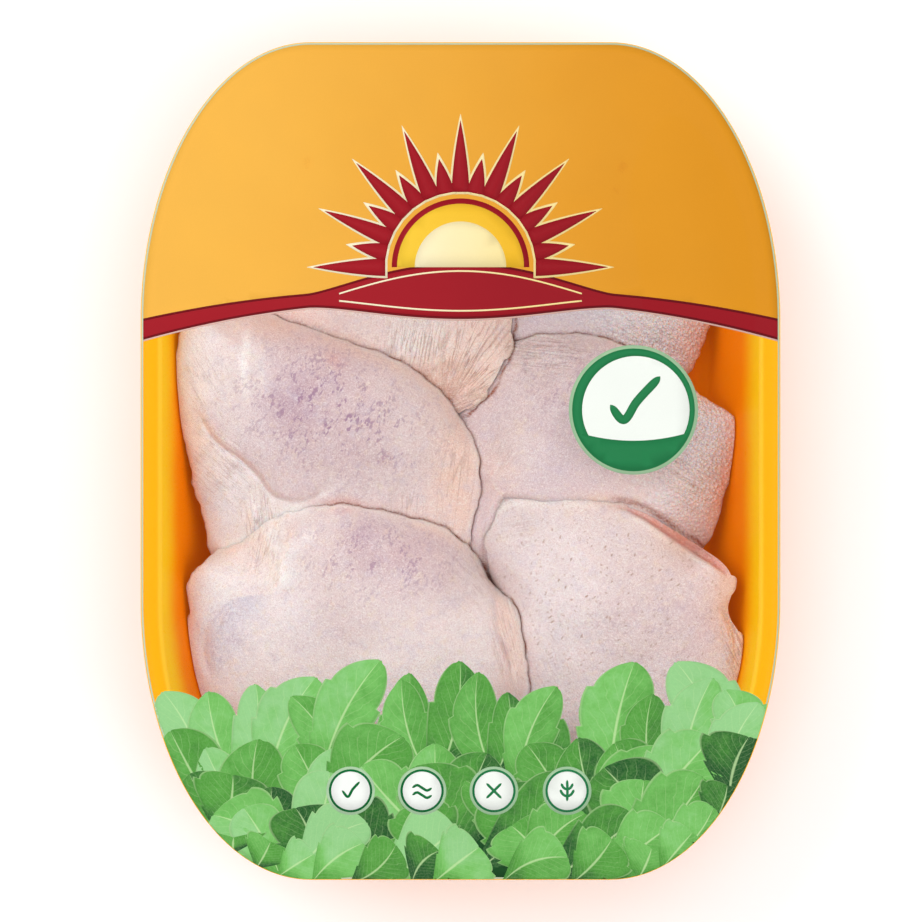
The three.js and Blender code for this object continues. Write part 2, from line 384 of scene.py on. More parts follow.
def makeTrayPlastic():
    fixed = {
        "Subsurface Weight": 0.15, "Subsurface Radius": (1, 0.5, 0.03), "Subsurface Scale": 3 * mm,
        "Specular IOR Level": 0.03, "Emission Strength": tray["paintedGlow"],
    }
    material, tree, shader, place = newMaterial("trayPlastic", fixed)
    # painted light: the colour, which also sets the glow, is lighter near the rim, and painted shade makes it
    # deeper orange further down
    up = addNode(tree, "ShaderNodeSeparateXYZ", {0: place}).outputs[2]
    flow = calc(tree, "MULTIPLY_ADD", calc(tree, "SUBTRACT", noise(tree, place, 0.035, 3), 0.5), 6, up)
    depth = remap(tree, flow, tray["shadeFrom"], tray["shadeTo"])
    colour = mixColour(tree, depth, tray["paintedShadeColour"], tray["litWallColour"])
    colour = mixColour(tree, remap(tree, up, 44.5, 45.9), colour, tray["rimColour"])
    grain = noise(tree, place, 2.2, 2)
    # and a painted highlight runs along the roll
    band = calc(tree, "MULTIPLY", remap(tree, up, 43.6, 44.8), remap(tree, up, 45.95, 45.4))
    colour = mixColour(tree, calc(tree, "MULTIPLY", band, tray["rollHighlightShare"]), colour, tray["rollHighlightColour"])
    tree.links.new(colour, shader.inputs["Base Color"])
    # the wall glows in its own colour, painted light and shade included
    tree.links.new(colour, shader.inputs["Emission Color"])
    tree.links.new(remap(tree, grain, 0.3, 0.7, 0.26, 0.36), shader.inputs["Roughness"])
    addBump(tree, shader, grain, 0.12, 0.06)
    return material


def makeTray():
    # one profile, as inset and height, taken round the pack: under side, wall outside, rim, wall inside
    top = pack["height"]
    rimUnder = top - tray["rimThickness"]
    wallTop = film["rim"] - tray["wall"]
    wallFoot = wallTop + tray["wallRun"]
    footOuter = wallFoot + tray["floorRound"]
    footInner = footOuter + tray["footWidth"]
    floor = tray["footRise"] + tray["wall"]
    roll = tray["rimRoll"]
    innerFoot = film["rim"] + tray["wallRun"]
    outerRound = tray["floorRound"]
    profile = [(footInner + tray["footSlope"] + 6, tray["footRise"]), (footInner + tray["footSlope"], 1.3)]
    profile += [(footInner + 0.5, 0.12), (footInner - 0.6, 0), (footOuter + 1.5, 0)]
    profile += arc((footOuter, outerRound), outerRound, -90, -168, 9)
    profile += [(wallTop + 0.5, rimUnder - 1.2), (wallTop, rimUnder - 0.5), (wallTop - 0.6, rimUnder)]
    profile += [(tray["lipThickness"] + 0.3, rimUnder), (tray["lipThickness"], rimUnder - 0.4)]
    profile += [(tray["lipThickness"], top - tray["lipDrop"] + 0.2), (0.7, top - tray["lipDrop"])]
    profile += [(0.2, top - tray["lipDrop"]), (0, top - tray["lipDrop"] + 0.3), (0, top - 0.7)]
    profile += arc((0.6, top - 0.6), 0.6, 180, 90, 5)
    rollMiddle = film["rim"] - roll * math.cos(math.radians(12))
    profile += [(1.6, top), (rollMiddle - 0.6, top)]
    profile += arc((rollMiddle, top - roll), roll, 90, 12, 10)
    profile += arc((innerFoot + 6 - 0.2, floor + 6), 6, 195, 270, 9)
    rings = [np.column_stack([packRing(inset, tray["steps"]), np.full(4 * (tray["steps"] + 1), z)])
             for inset, z in profile]
    points, faces = closedLoft((0, 0, tray["footRise"]), rings, (0, 0, floor))
    finishPiece(makeObject("tray_shell", points, faces, makeTrayPlastic()), "tray_plastic", "tray")


makeTray()
print("tray ready")


# ---- lid film ----

filmForm = {
    "steps": 28,  # edges in a corner
    "rings": 14,  # rings from the rim to the flat middle
    "mirror": 0.6, "tint": (0.995, 0.997, 0.995, 1),
    "cutWidth": 0.55, "cutColour": rgb(196, 205, 176),
}


def makeClearFilm():
    material = bpy.data.materials.new("clearFilm")
    material.use_nodes = True
    tree = material.node_tree
    tree.nodes.clear()
    slack = noise(tree, ownPlace(tree), 0.045, 3, 0.55)  # slight slack in the stretched film
    normal = addNode(tree, "ShaderNodeBump", {"Height": slack, "Strength": 0.5,
                                              "Distance": 0.8 * mm}).outputs[0]
    clear = addNode(tree, "ShaderNodeBsdfTransparent", {"Color": filmForm["tint"]})
    gloss = addNode(tree, "ShaderNodeBsdfPrincipled", {
        "Base Color": (0.9, 0.9, 0.9, 1), "Metallic": 1.0, "Roughness": 0.08, "Normal": normal})
    facing = addNode(tree, "ShaderNodeFresnel", {"IOR": 1.3})
    shadow = addNode(tree, "ShaderNodeLightPath").outputs["Is Shadow Ray"]
    share = calc(tree, "MULTIPLY", facing.outputs[0], filmForm["mirror"])
    share = calc(tree, "MULTIPLY", share, calc(tree, "SUBTRACT", 1.0, shadow))
    mixed = addNode(tree, "ShaderNodeMixShader", {0: share, 1: clear.outputs[0], 2: gloss.outputs[0]})
    addNode(tree, "ShaderNodeOutputMaterial", {"Surface": mixed.outputs[0]})
    return material


def makeFilm():
    insets = [film["rim"] + film["crownRun"] * (1 - i / filmForm["rings"])
              for i in range(filmForm["rings"] + 1)]
    insets += [3, film["edge"]]
    under = []
    for inset in insets:
        ring = packRing(inset, filmForm["steps"])
        under.append(np.column_stack([ring, filmUnder(ring[:, 0], ring[:, 1])]))
    over = [ring + (0, 0, film["thickness"]) for ring in reversed(under)]
    crown = pack["height"] + film["seal"] + film["crown"]
    points, faces = closedLoft((0, 0, crown), under + over, (0, 0, crown + film["thickness"]))
    finishPiece(makeObject("film_sheet", points, faces, makeClearFilm()), "lid_film", "lid_film")


makeFilm()
print("film ready")


# ---- print on the film ----
# every printed field is a thin sheet that follows the film, a little above it: its lift

inks = {
    "orange": {"colour": rgb(236, 176, 70), "second": rgb(212, 139, 24), "spread": 96},
    "maroon": {"colour": rgb(158, 22, 34), "second": rgb(146, 18, 30), "spread": 40},
    "darkLine": {"colour": rgb(112, 12, 22), "second": rgb(100, 10, 20), "spread": 40},
    "halo": {"colour": rgb(214, 176, 166), "second": rgb(204, 164, 152), "spread": 40},
    "cream": {"colour": rgb(244, 234, 200), "second": rgb(242, 220, 150), "spread": 30},
    "yellow": {"colour": rgb(240, 198, 58), "second": rgb(232, 178, 40), "spread": 30},
    "white": {"colour": rgb(240, 243, 238), "second": rgb(234, 238, 231), "spread": 30},
    "paleGreen": {"colour": rgb(176, 208, 170), "second": rgb(160, 196, 156), "spread": 30},
    "ringGreen": {"colour": rgb(4, 104, 50), "second": rgb(34, 122, 72), "spread": 24},
    "leafGround": {"colour": rgb(34, 84, 40), "second": rgb(20, 62, 28), "spread": 60},
    "cutEdge": {"colour": filmForm["cutColour"], "second": rgb(182, 192, 160), "spread": 60},
}


def makeInkGroup():
    # fine uneven laydown of ink: darker and lighter specks, and a slightly uneven gloss
    inputs = {"Colour": ("NodeSocketColor", None), "Place": ("NodeSocketVector", None),
              "Speck": ("NodeSocketFloat", 0.04)}
    outputs = {"Colour": "NodeSocketColor", "Roughness": "NodeSocketFloat", "Height": "NodeSocketFloat"}
    tree, given, result = newGroup("inkLaydown", inputs, outputs)
    fine = noise(tree, given["Place"], 3.5, 2)
    broad = noise(tree, given["Place"], 0.06, 2)
    both = calc(tree, "ADD", calc(tree, "SUBTRACT", fine, 0.5), calc(tree, "SUBTRACT", broad, 0.5))
    light = calc(tree, "MULTIPLY_ADD", both, given["Speck"], 1.0)
    shade = addNode(tree, "ShaderNodeCombineColor", {0: light, 1: light, 2: light}).outputs[0]
    tree.links.new(mixColour(tree, 1.0, given["Colour"], shade, "MULTIPLY"), result.inputs["Colour"])
    tree.links.new(remap(tree, broad, 0.3, 0.7, 0.34, 0.46), result.inputs["Roughness"])
    tree.links.new(fine, result.inputs["Height"])
    return tree


inkLaydown = makeInkGroup()
printShine = {"Specular IOR Level": 0.15}


def finishInk(tree, shader, colour, place, speck):
    laid = addNode(tree, "ShaderNodeGroup", {"Colour": colour, "Place": place, "Speck": speck},
                   node_tree=inkLaydown).outputs
    tree.links.new(laid["Colour"], shader.inputs["Base Color"])
    tree.links.new(laid["Roughness"], shader.inputs["Roughness"])
    addBump(tree, shader, laid["Height"], 0.1, 0.03)


def letLightThrough(tree, shader):
    # rays of light on their way to what lies under a print pass it; it looks solid to the eye
    path = addNode(tree, "ShaderNodeLightPath").outputs
    light = calc(tree, "MAXIMUM", path["Is Shadow Ray"], path["Is Diffuse Ray"])
    open_ = addNode(tree, "ShaderNodeBsdfTransparent")
    mixed = addNode(tree, "ShaderNodeMixShader", {0: light, 1: shader.outputs[0], 2: open_.outputs[0]})
    output = [node for node in tree.nodes if node.type == "OUTPUT_MATERIAL"][0]
    tree.links.new(mixed.outputs[0], output.inputs["Surface"])


def makeInk(name, speck=0.06):
    ink = inks[name]
    material, tree, shader, place = newMaterial(name + "Ink", printShine)
    across = addNode(tree, "ShaderNodeSeparateXYZ", {0: place}).outputs[0]
    turn = calc(tree, "ADD", across, calc(tree, "MULTIPLY", noise(tree, place, 0.02), 40.0))
    share = remap(tree, turn, 20 - ink["spread"], 20 + ink["spread"])
    finishInk(tree, shader, mixColour(tree, share, ink["colour"], ink["second"]), place, speck)
    letLightThrough(tree, shader)
    return material


ink = {name: makeInk(name) for name in inks}


def laySheet(name, points, faces, lift, material, depth=0.03):
    # flat points and faces become a thin closed sheet on the film, with crisp sides
    points = np.array(points, float)
    height = filmTop(points[:, 0], points[:, 1]) + lift + (points[:, 2] if points.shape[1] == 3 else 0)
    points = np.column_stack([points[:, :2], height])
    corners = [(face[i], face[(i + 1) % len(face)]) for face in faces for i in range(len(face))]
    known = set(corners)
    under = len(points)
    sides = [(b, a, a + under, b + under) for a, b in corners if (b, a) not in known]
    turned = [tuple(under + i for i in reversed(face)) for face in faces]
    allFaces = [tuple(face) for face in faces] + turned + sides
    piece = makeObject(name, np.concatenate([points, points - (0, 0, depth)]), allFaces, material)
    smooth = [True] * (2 * len(faces)) + [False] * len(sides)
    piece.data.polygons.foreach_set("use_smooth", smooth)
    return finishPiece(piece, "lid_film")


def printShape(name, outline, lift, material, spacing=5):
    # a printed field with that outline, anticlockwise, with points inside it every `spacing`
    outline = stretchOf(np.concatenate([outline, outline[:1]]), 2)[:-1]
    low, high = outline.min(0), outline.max(0)
    x, y = np.meshgrid(np.arange(low[0], high[0], spacing), np.arange(low[1], high[1], spacing))
    middle = np.column_stack([x.ravel(), y.ravel()])
    middle = middle[insetAt(*middle.T) > 42]
    rings = [evenly(packRing(inset, 40), 150, closed=True)
             for inset in (3.5, 6.3, 6.8, 10, 14, 19, 25, 32, 40)]
    x, y = np.concatenate([middle, *rings]).T
    gap = distanceTo(np.concatenate([outline, outline[:1]]), x, y)[0]
    kept = isInside(outline, x, y) & (gap > 0.6)
    points = [Vector(p) for p in np.concatenate([outline, np.column_stack([x[kept], y[kept]])]).tolist()]
    edges = [(i, (i + 1) % len(outline)) for i in range(len(outline))]
    points, _, faces, *_ = flatGeometry.delaunay_2d_cdt(points, edges, [], 1, 1e-4)
    return laySheet(name, [tuple(p) for p in points], [tuple(f) for f in faces], lift, material)


def printBand(name, lower, upper, lift, material, closed=False, rows=2):
    # a printed field between two lines of as many points; the upper one is on the lower one's left
    lower, upper = np.array(lower, float), np.array(upper, float)
    lines = [lower + (upper - lower) * i / rows for i in range(rows + 1)]
    return laySheet(name, np.concatenate(lines), ringFaces(rows + 1, len(lower), closed), lift, material)


def strokeSides(line, width):
    # the two sides of a stroke along a line, narrowed to a rounded point at its ends
    line = np.array(line, float)
    along = np.gradient(line, axis=0)
    along /= np.hypot(*along.T)[:, None]
    left = np.column_stack([-along[:, 1], along[:, 0]])
    run = np.linspace(0, 1, len(line))
    half = width / 2 * np.clip(1 - np.abs(2 * run - 1) ** 12, 0.05, 1)[:, None]
    return line - left * half, line + left * half


def circle(x, y, radius, count=72):
    angle = np.linspace(0, 2 * np.pi, count, endpoint=False)
    return np.column_stack([x + radius * np.cos(angle), y + radius * np.sin(angle)])


band = {
    # the band's middle line: its height at x = 0, and its fall to the rim
    "middle": 49.9, "drop": 10.5, "bow": 2.3,
    "half": 1.8, "halfEnd": 3.2,  # half its width in the middle, and at the rim
    "plateReach": 46, "plateRise": 7.6, "plateSag": 5.6,  # the plain lens in its middle
    "line": 0.7, "halo": 0.5,
}


def bandLine(x, side):
    # the band's lower (side -1), middle (0) or upper (1) line
    share = np.abs(x) / 95.7
    line = band["middle"] - band["drop"] * share ** band["bow"]
    half = band["half"] + (band["halfEnd"] - band["half"]) * share ** 2
    lens = np.clip(1 - (x / band["plateReach"]) ** 2, 0, 1) ** 1.5
    bulge = band["plateRise"] if side > 0 else band["plateSag"]
    return line + side * (half + bulge * lens)


def printBandAndField():
    outline = packRing(film["edge"] + 0.05, 40)
    x = np.linspace(-95.6, 95.6, 130)
    middle = np.column_stack([x, bandLine(x, 0)])
    sky = outline[outline[:, 1] > bandLine(outline[:, 0], 0) + 0.5]
    printShape("print_orange_field", np.concatenate([sky, middle]), 0.05, ink["orange"], 6)
    lower, upper = (np.column_stack([x, bandLine(x, side)]) for side in (-1, 1))
    printBand("print_band", lower, upper, 0.1, ink["maroon"], rows=6)
    printBand("print_band_line_back", upper - (0, band["line"]), upper, 0.15, ink["darkLine"], rows=1)
    printBand("print_band_line_front", lower, lower + (0, band["line"]), 0.15, ink["darkLine"], rows=1)
    printBand("print_band_halo", lower - (0, band["halo"]), lower, 0.08, ink["halo"], rows=1)
    plate = x[np.abs(x) < band["plateReach"] - 9]
    top = np.column_stack([plate, bandLine(plate, 1) - 2.2])
    bottom = np.column_stack([plate, bandLine(plate, -1) + 2.2])
    printBand("print_plate_line", np.concatenate([bottom, top[::-1]]),
              np.concatenate([bottom + (0, 0.5), (top - (0, 0.5))[::-1]]), 0.15, ink["cream"], True, 1)


printBandAndField()

cut = [packRing(inset, 40) for inset in (film["edge"] + filmForm["cutWidth"], film["edge"] + 0.02)]
printBand("film_cut_edge", cut[1], cut[0], 0.2, ink["cutEdge"], closed=True, rows=1)
print("print ready")


# ---- a plain rising sun over the band ----

sun = {
    "middle": (0, 58), "radius": 19, "outline": 1.6,
    "rays": 17, "inner": 22.5, "outer": 44, "shorter": 33, "width": 5.2,
}


def newGrower(name, inputs):
    # a geometry node tree with a geometry in and out, and inputs given as {name: socket kind}
    tree = bpy.data.node_groups.new(name, "GeometryNodeTree")
    for socket, kind in {"Geometry": "Geometry", **inputs}.items():
        tree.interface.new_socket(socket, in_out="INPUT", socket_type="NodeSocket" + kind)
    tree.interface.new_socket("Geometry", in_out="OUTPUT", socket_type="NodeSocketGeometry")
    return tree, tree.nodes.new("NodeGroupInput").outputs


def store(tree, geometry, name, value, kind="FLOAT"):
    values = {"Geometry": geometry, "Name": name, "Value": value}
    return addNode(tree, "GeometryNodeStoreNamedAttribute", values, data_type=kind).outputs[0]


def stored(tree, name, kind="FLOAT"):
    return addNode(tree, "GeometryNodeInputNamedAttribute", {"Name": name}, data_type=kind).outputs[0]


def realized(tree, geometry):
    return addNode(tree, "GeometryNodeRealizeInstances", {"Geometry": geometry}).outputs[0]


def endGrower(tree, geometry, x, y, z, ink):
    # moves the points to their places, gives them their ink and puts them out
    spot = addNode(tree, "ShaderNodeCombineXYZ", {0: x, 1: y, 2: z}).outputs[0]
    moved = addNode(tree, "GeometryNodeSetPosition", {"Geometry": geometry, "Position": spot}).outputs[0]
    inked = {"Geometry": realized(tree, moved), "Material": ink}
    inked = addNode(tree, "GeometryNodeSetMaterial", inked).outputs[0]
    addNode(tree, "NodeGroupOutput", {"Geometry": inked})
    return tree


def makeRayTree():
    # kite-shaped rays in a fan, every other one shorter
    tree, given = newGrower("sunRays", {
        "Rays": "Int", "Inner": "Float", "Outer": "Float", "Shorter": "Float", "Width": "Float",
        "Ink": "Material"})
    line = addNode(tree, "GeometryNodeMeshLine", {"Count": given["Rays"]}, mode="OFFSET").outputs[0]
    grid = addNode(tree, "GeometryNodeMeshGrid", {"Size X": 1.0, "Size Y": 1.0, "Vertices X": 13,
                                                  "Vertices Y": 3})
    local = addNode(tree, "ShaderNodeSeparateXYZ", {0: addNode(tree, "GeometryNodeInputPosition").outputs[0]})
    along = calc(tree, "ADD", local.outputs[0], 0.5)
    ray = store(tree, store(tree, grid.outputs[0], "along", along), "across", local.outputs[1])
    line = store(tree, line, "number", addNode(tree, "GeometryNodeInputIndex").outputs[0])
    fan = addNode(tree, "GeometryNodeInstanceOnPoints", {"Points": line, "Instance": ray}).outputs[0]
    fan = realized(tree, fan)
    along, across, number = [stored(tree, name) for name in ("along", "across", "number")]
    odd = calc(tree, "MODULO", number, 2.0)
    outer = calc(tree, "MULTIPLY_ADD", calc(tree, "SUBTRACT", given["Shorter"], given["Outer"]), odd,
                 given["Outer"])
    away = calc(tree, "MULTIPLY_ADD", calc(tree, "SUBTRACT", outer, given["Inner"]), along, given["Inner"])
    taper = calc(tree, "SUBTRACT", 1.02, calc(tree, "POWER", along, 1.6))
    side = calc(tree, "MULTIPLY", calc(tree, "MULTIPLY", across, given["Width"]), taper)
    last = calc(tree, "SUBTRACT", given["Rays"], 1.0)
    turn = calc(tree, "MULTIPLY", calc(tree, "DIVIDE", number, last), math.pi)
    cosine, sine = calc(tree, "COSINE", turn), calc(tree, "SINE", turn)
    x = calc(tree, "SUBTRACT", calc(tree, "MULTIPLY", away, cosine), calc(tree, "MULTIPLY", side, sine))
    y = calc(tree, "ADD", calc(tree, "MULTIPLY", away, sine), calc(tree, "MULTIPLY", side, cosine))
    return endGrower(tree, fan, x, y, 0.0, given["Ink"])


def grown(name, tree, base, values):
    # the mesh that a geometry node tree makes from base, as points in millimetres, faces and the mesh itself
    holder = bpy.data.objects.new(name + "_base", base)
    scene.collection.objects.link(holder)
    modifier = holder.modifiers.new("nodes", "NODES")
    modifier.node_group = tree
    sockets = {item.name: item.identifier for item in tree.interface.items_tree if item.in_out == "INPUT"}
    for socket, value in values.items():
        modifier[sockets[socket]] = value
    made = bpy.data.meshes.new_from_object(holder.evaluated_get(bpy.context.evaluated_depsgraph_get()))
    bpy.data.objects.remove(holder)
    return made


def layMesh(name, mesh, lift, material, kept=()):
    # a grown flat mesh becomes a printed sheet, with the attributes that its ink reads
    points = np.zeros(len(mesh.vertices) * 3)
    mesh.vertices.foreach_get("co", points)
    points = points.reshape(-1, 3) / mm
    onFilm = insetAt(points[:, 0], points[:, 1]) > film["edge"]
    faces = [tuple(face.vertices) for face in mesh.polygons if onFilm[list(face.vertices)].any()]
    used = sorted({corner for face in faces for corner in face})  # what lies wholly off the film is cut away
    place = {old: new for new, old in enumerate(used)}
    points = clampToPack(points[used], film["edge"] + 0.05)
    faces = [tuple(place[corner] for corner in face) for face in faces]
    piece = laySheet(name, points, faces, lift, material, 0.01)
    for attributeName in kept:
        values = np.zeros(len(mesh.vertices))
        mesh.attributes[attributeName].data.foreach_get("value", values)
        addAttribute(piece.data, attributeName, "FLOAT", np.tile(values[used], 2))
    return piece


def printSun():
    x, y = sun["middle"]
    half = np.array([p for p in circle(x, y, sun["radius"] + sun["outline"], 96) if p[1] >= y - 0.01])
    printShape("print_sun_rim", half, 0.2, ink["maroon"], 5)
    half = np.array([p for p in circle(x, y, sun["radius"], 96) if p[1] >= y - 0.01])
    printShape("print_sun", half, 0.25, ink["yellow"], 5)
    half = np.array([p for p in circle(x, y, sun["radius"] * 0.72, 96) if p[1] >= y - 0.01])
    printShape("print_sun_heart", half, 0.3, ink["cream"], 5)
    tree = makeRayTree()
    for name, grow, lift, colour in [("print_ray_edges", 1.3, 0.2, "cream"),
                                     ("print_rays", 0, 0.25, "maroon")]:
        rays = grown(name, tree, bpy.data.meshes.new(name), {
            "Rays": sun["rays"], "Inner": (sun["inner"] - grow / 2) * mm,
            "Outer": (sun["outer"] + grow * 1.5) * mm,
            "Shorter": (sun["shorter"] + grow * 1.5) * mm, "Width": (sun["width"] + grow) * mm,
            "Ink": ink[colour]})
        rays.transform(Matrix.Translation((x * mm, y * mm, 0)))
        layMesh(name, rays, lift, ink[colour])


# ---- round badge and four small discs, with plain signs ----

badge = {
    "middle": [51.8, 15.3], "radius": 18.4, "ring": 2.3, "halo": 1.0,
    "footShare": 0.36, "footBow": 2.6,  # the filled part of the badge's foot
    "tick": [(-7, 1.5), (-3, -3), (1, 2.5), (8, 10)],
}
discs = {"middles": [[-32.9, -98.7], [-11.5, -98.7], [10, -98.7], [31.9, -98.7]], "radius": 7.3, "rim": 0.8,
         "ring": 0.7}


def printStroke(name, line, width, lift, colour):
    printBand(name, *strokeSides(smoothCurve(line, 0.5), width), lift, ink[colour], rows=2)


def printBadge():
    x, y = badge["middle"]
    radius, ring = badge["radius"], badge["ring"]
    printShape("print_badge_halo", circle(x, y, radius + badge["halo"]), 0.12, ink["paleGreen"], 4)
    printShape("print_badge_face", circle(x, y, radius), 0.17, ink["white"], 4)
    inner = circle(x, y, radius - ring)
    inner[:, 0] += 0.7  # the ring is thicker on its left
    printBand("print_badge_ring", circle(x, y, radius), inner, 0.22, ink["ringGreen"], closed=True, rows=1)
    footTop = y - radius * badge["footShare"]
    foot = np.array([p for p in circle(x, y, radius - 0.4, 144) if p[1] <= footTop])
    across = np.linspace(foot[:, 0].max(), foot[:, 0].min(), 24)
    bow = footTop - badge["footBow"] * (1 - ((across - x) / (radius * 0.93)) ** 2)
    foot = foot[np.argsort(foot[:, 0])]
    foot = np.concatenate([foot, np.column_stack([across, bow])])
    printShape("print_badge_foot", foot, 0.25, ink["ringGreen"], 3)
    printStroke("print_badge_tick", np.array(badge["tick"]) + (x, y), 2.6, 0.25, "ringGreen")


def printDiscs():
    signs = {
        "tick": [[(-2.6, 0.2), (-0.8, -1.8), (0.6, 0.4), (2.8, 2.8)]],
        "waves": [[(-3, 0.9), (-1.5, 1.7), (0, 0.9), (1.5, 0.1), (3, 0.9)],
                  [(-3, -1.3), (-1.5, -0.5), (0, -1.3), (1.5, -2.1), (3, -1.3)]],
        "cross": [[(-2.3, -2.3), (0, 0), (2.3, 2.3)], [(-2.3, 2.3), (0, 0), (2.3, -2.3)]],
        "sprig": [[(0, -3.2), (0.1, 0), (0, 3.3)], [(0, -1.8), (1.3, -1), (2.1, 0.4)],
                  [(0, -1.8), (-1.3, -1), (-2.1, 0.4)],
                  [(0, 0.3), (1.1, 1), (1.8, 2.3)], [(0, 0.3), (-1.1, 1), (-1.8, 2.3)]],
    }
    for (sign, strokes), (x, y) in zip(signs.items(), discs["middles"]):
        radius, rim = discs["radius"], discs["rim"]
        printShape(f"print_disc_{sign}", circle(x, y, radius, 48), 1.35, ink["paleGreen"], 3)
        printShape(f"print_disc_{sign}_ring", circle(x, y, radius - rim, 48), 1.4, ink["ringGreen"], 3)
        printShape(f"print_disc_{sign}_face", circle(x, y, radius - rim - discs["ring"], 48), 1.45,
                   ink["white"], 3)
        for i, stroke in enumerate(strokes):
            printStroke(f"print_disc_{sign}_{i}", np.array(stroke) + (x, y), 0.8, 1.5, "ringGreen")


# ---- printed leaves ----

leaves = {
    "stepsAlong": 49, "stepsAcross": 11, "layer": 0.014,
    "seed": 8, "toothDepth": 0.17, "toothSlant": 0.35, "stem": 0.05,
    # root, tip, half width, lobes, bend, tone (0 dark to 1 pale)
    "back": [
        [[-76.6, -106.2], [-89.2, -69.3], 9.5, 3, 0.10, 0.95],
        [[-59.5, -107.7], [-75.8, -69.3], 9.5, 3, -0.08, 0.7],
        [[-71.5, -101.7], [-61.3, -66.9], 8, 3, 0.12, 0.8],
        [[-57.1, -106.2], [-43.4, -64.8], 10.5, 4, -0.10, 0.75],
        [[-34.6, -107.7], [-50.5, -70.5], 8.5, 3, 0.12, 0.5],
        [[-42.8, -103.2], [-24.1, -59.7], 10, 3, -0.08, 0.65],
        [[-32.5, -107.7], [-15.1, -63.6], 8.5, 3, 0.1, 0.4],
        [[-3.8, -101.7], [-17.6, -65.7], 8, 3, -0.1, 0.5],
        [[-12.2, -104.7], [-0.1, -60], 9.5, 3, 0.08, 0.25],
        [[17.8, -104.7], [5.2, -63.3], 8.5, 3, -0.12, 0.4],
        [[5.2, -101.7], [14.2, -69.3], 7, 3, 0.12, 0.2], [[29.8, -103.2], [19.1, -73.5], 7.5, 3, 0.1, 0.3],
        [[17.8, -106.2], [28.6, -67.5], 8.5, 3, -0.1, 0.55],
        [[49.4, -104.7], [37.6, -70.8], 8, 3, 0.08, 0.45],
        [[45.4, -110.7], [52, -60.3], 12.5, 4, -0.06, 0.6], [[61.3, -104.7], [57.4, -69.9], 8, 3, -0.1, 0.3],
        [[84.5, -107.7], [64.6, -60.3], 11.5, 3, 0.1, 0.95],
        [[68.8, -107.7], [75.5, -65.1], 9.5, 3, -0.1, 0.8],
        [[91.3, -101.7], [79.6, -68.7], 9.5, 3, 0.12, 0.75],
        [[78.5, -107.7], [91, -72.9], 8.5, 3, -0.1, 0.9]],
    # rows further forward: how many, height of the tips, from and to across, length, half width
    "rows": [[14, -84.3, -88.65, 89.25, 46, 10.5], [13, -95.1, -84.15, 85.05, 48, 11.5],
             [13, -105.9, -76.35, 76.65, 44, 11], [12, -115.5, -67.65, 68.85, 34, 9.5]],
    "ground": [[-93.1, -88.5], [-48.1, -86.7], [-0.1, -84.9], [41.9, -86.7], [94.3, -88.5]],
    "dark": rgb(26, 80, 36), "middle": rgb(78, 150, 58), "bright": rgb(114, 186, 94),
    "pale": rgb(144, 200, 134),
    "rib": rgb(190, 222, 160), "margin": rgb(176, 214, 150),
}


def makeLeafTree():
    # each point of the base grows one flat leaf with a toothed outline, shaped by the point's own attributes
    tree, given = newGrower("leafBed", {
        "Steps Along": "Int", "Steps Across": "Int", "Tooth Depth": "Float", "Tooth Slant": "Float",
        "Stem": "Float", "Ink": "Material"})
    grid = addNode(tree, "GeometryNodeMeshGrid", {"Size X": 1.0, "Size Y": 2.0,
                                                  "Vertices X": given["Steps Along"],
                                                 "Vertices Y": given["Steps Across"]}).outputs[0]
    local = addNode(tree, "ShaderNodeSeparateXYZ", {0: addNode(tree, "GeometryNodeInputPosition").outputs[0]})
    leaf = store(tree, grid, "along", calc(tree, "ADD", local.outputs[0], 0.5))
    leaf = store(tree, leaf, "across", local.outputs[1])
    here = addNode(tree, "GeometryNodeInputPosition").outputs[0]
    rooted = store(tree, given["Geometry"], "root", here, "FLOAT_VECTOR")
    bed = addNode(tree, "GeometryNodeInstanceOnPoints", {"Points": rooted, "Instance": leaf}).outputs[0]
    bed = realized(tree, bed)
    along, across, bend, length = [stored(tree, name) for name in ("along", "across", "bend", "length")]
    away = calc(tree, "ABSOLUTE", across)
    swell = calc(tree, "SINE", calc(tree, "MULTIPLY", calc(tree, "POWER", along, 1.35), math.pi))
    swell = calc(tree, "POWER", calc(tree, "MAXIMUM", swell, 0.0), 0.75)
    # teeth: each swells slowly towards the tip and ends in a quick notch
    saw = calc(tree, "MULTIPLY_ADD", along, stored(tree, "lobes"), calc(tree, "MULTIPLY", bend, across))
    saw = calc(tree, "FRACT", saw)
    notch = calc(tree, "MULTIPLY", calc(tree, "SUBTRACT", 1.0, calc(tree, "POWER", saw, 0.6)),
                 given["Tooth Depth"])
    half = calc(tree, "MULTIPLY", swell, calc(tree, "SUBTRACT", 1.0, notch))
    half = calc(tree, "MULTIPLY", calc(tree, "MAXIMUM", half, given["Stem"]), stored(tree, "half"))
    run = calc(tree, "MULTIPLY", along, length)
    run = calc(tree, "MULTIPLY_ADD", calc(tree, "MULTIPLY", away, half), given["Tooth Slant"], run)
    arch = calc(tree, "MULTIPLY", calc(tree, "MULTIPLY", along, calc(tree, "SUBTRACT", along, 1.0)), 4.0)
    bow = calc(tree, "MULTIPLY", arch, calc(tree, "MULTIPLY", bend, length))
    side = calc(tree, "MULTIPLY_ADD", across, half, bow)
    cosine, sine = [calc(tree, kind, stored(tree, "turn")) for kind in ("COSINE", "SINE")]
    root = addNode(tree, "ShaderNodeSeparateXYZ", {0: stored(tree, "root", "FLOAT_VECTOR")}).outputs
    x = calc(tree, "MULTIPLY_ADD", run, cosine, root[0])
    x = calc(tree, "SUBTRACT", x, calc(tree, "MULTIPLY", side, sine))
    y = calc(tree, "MULTIPLY_ADD", side, cosine, calc(tree, "MULTIPLY_ADD", run, sine, root[1]))
    return endGrower(tree, bed, x, y, root[2], given["Ink"])


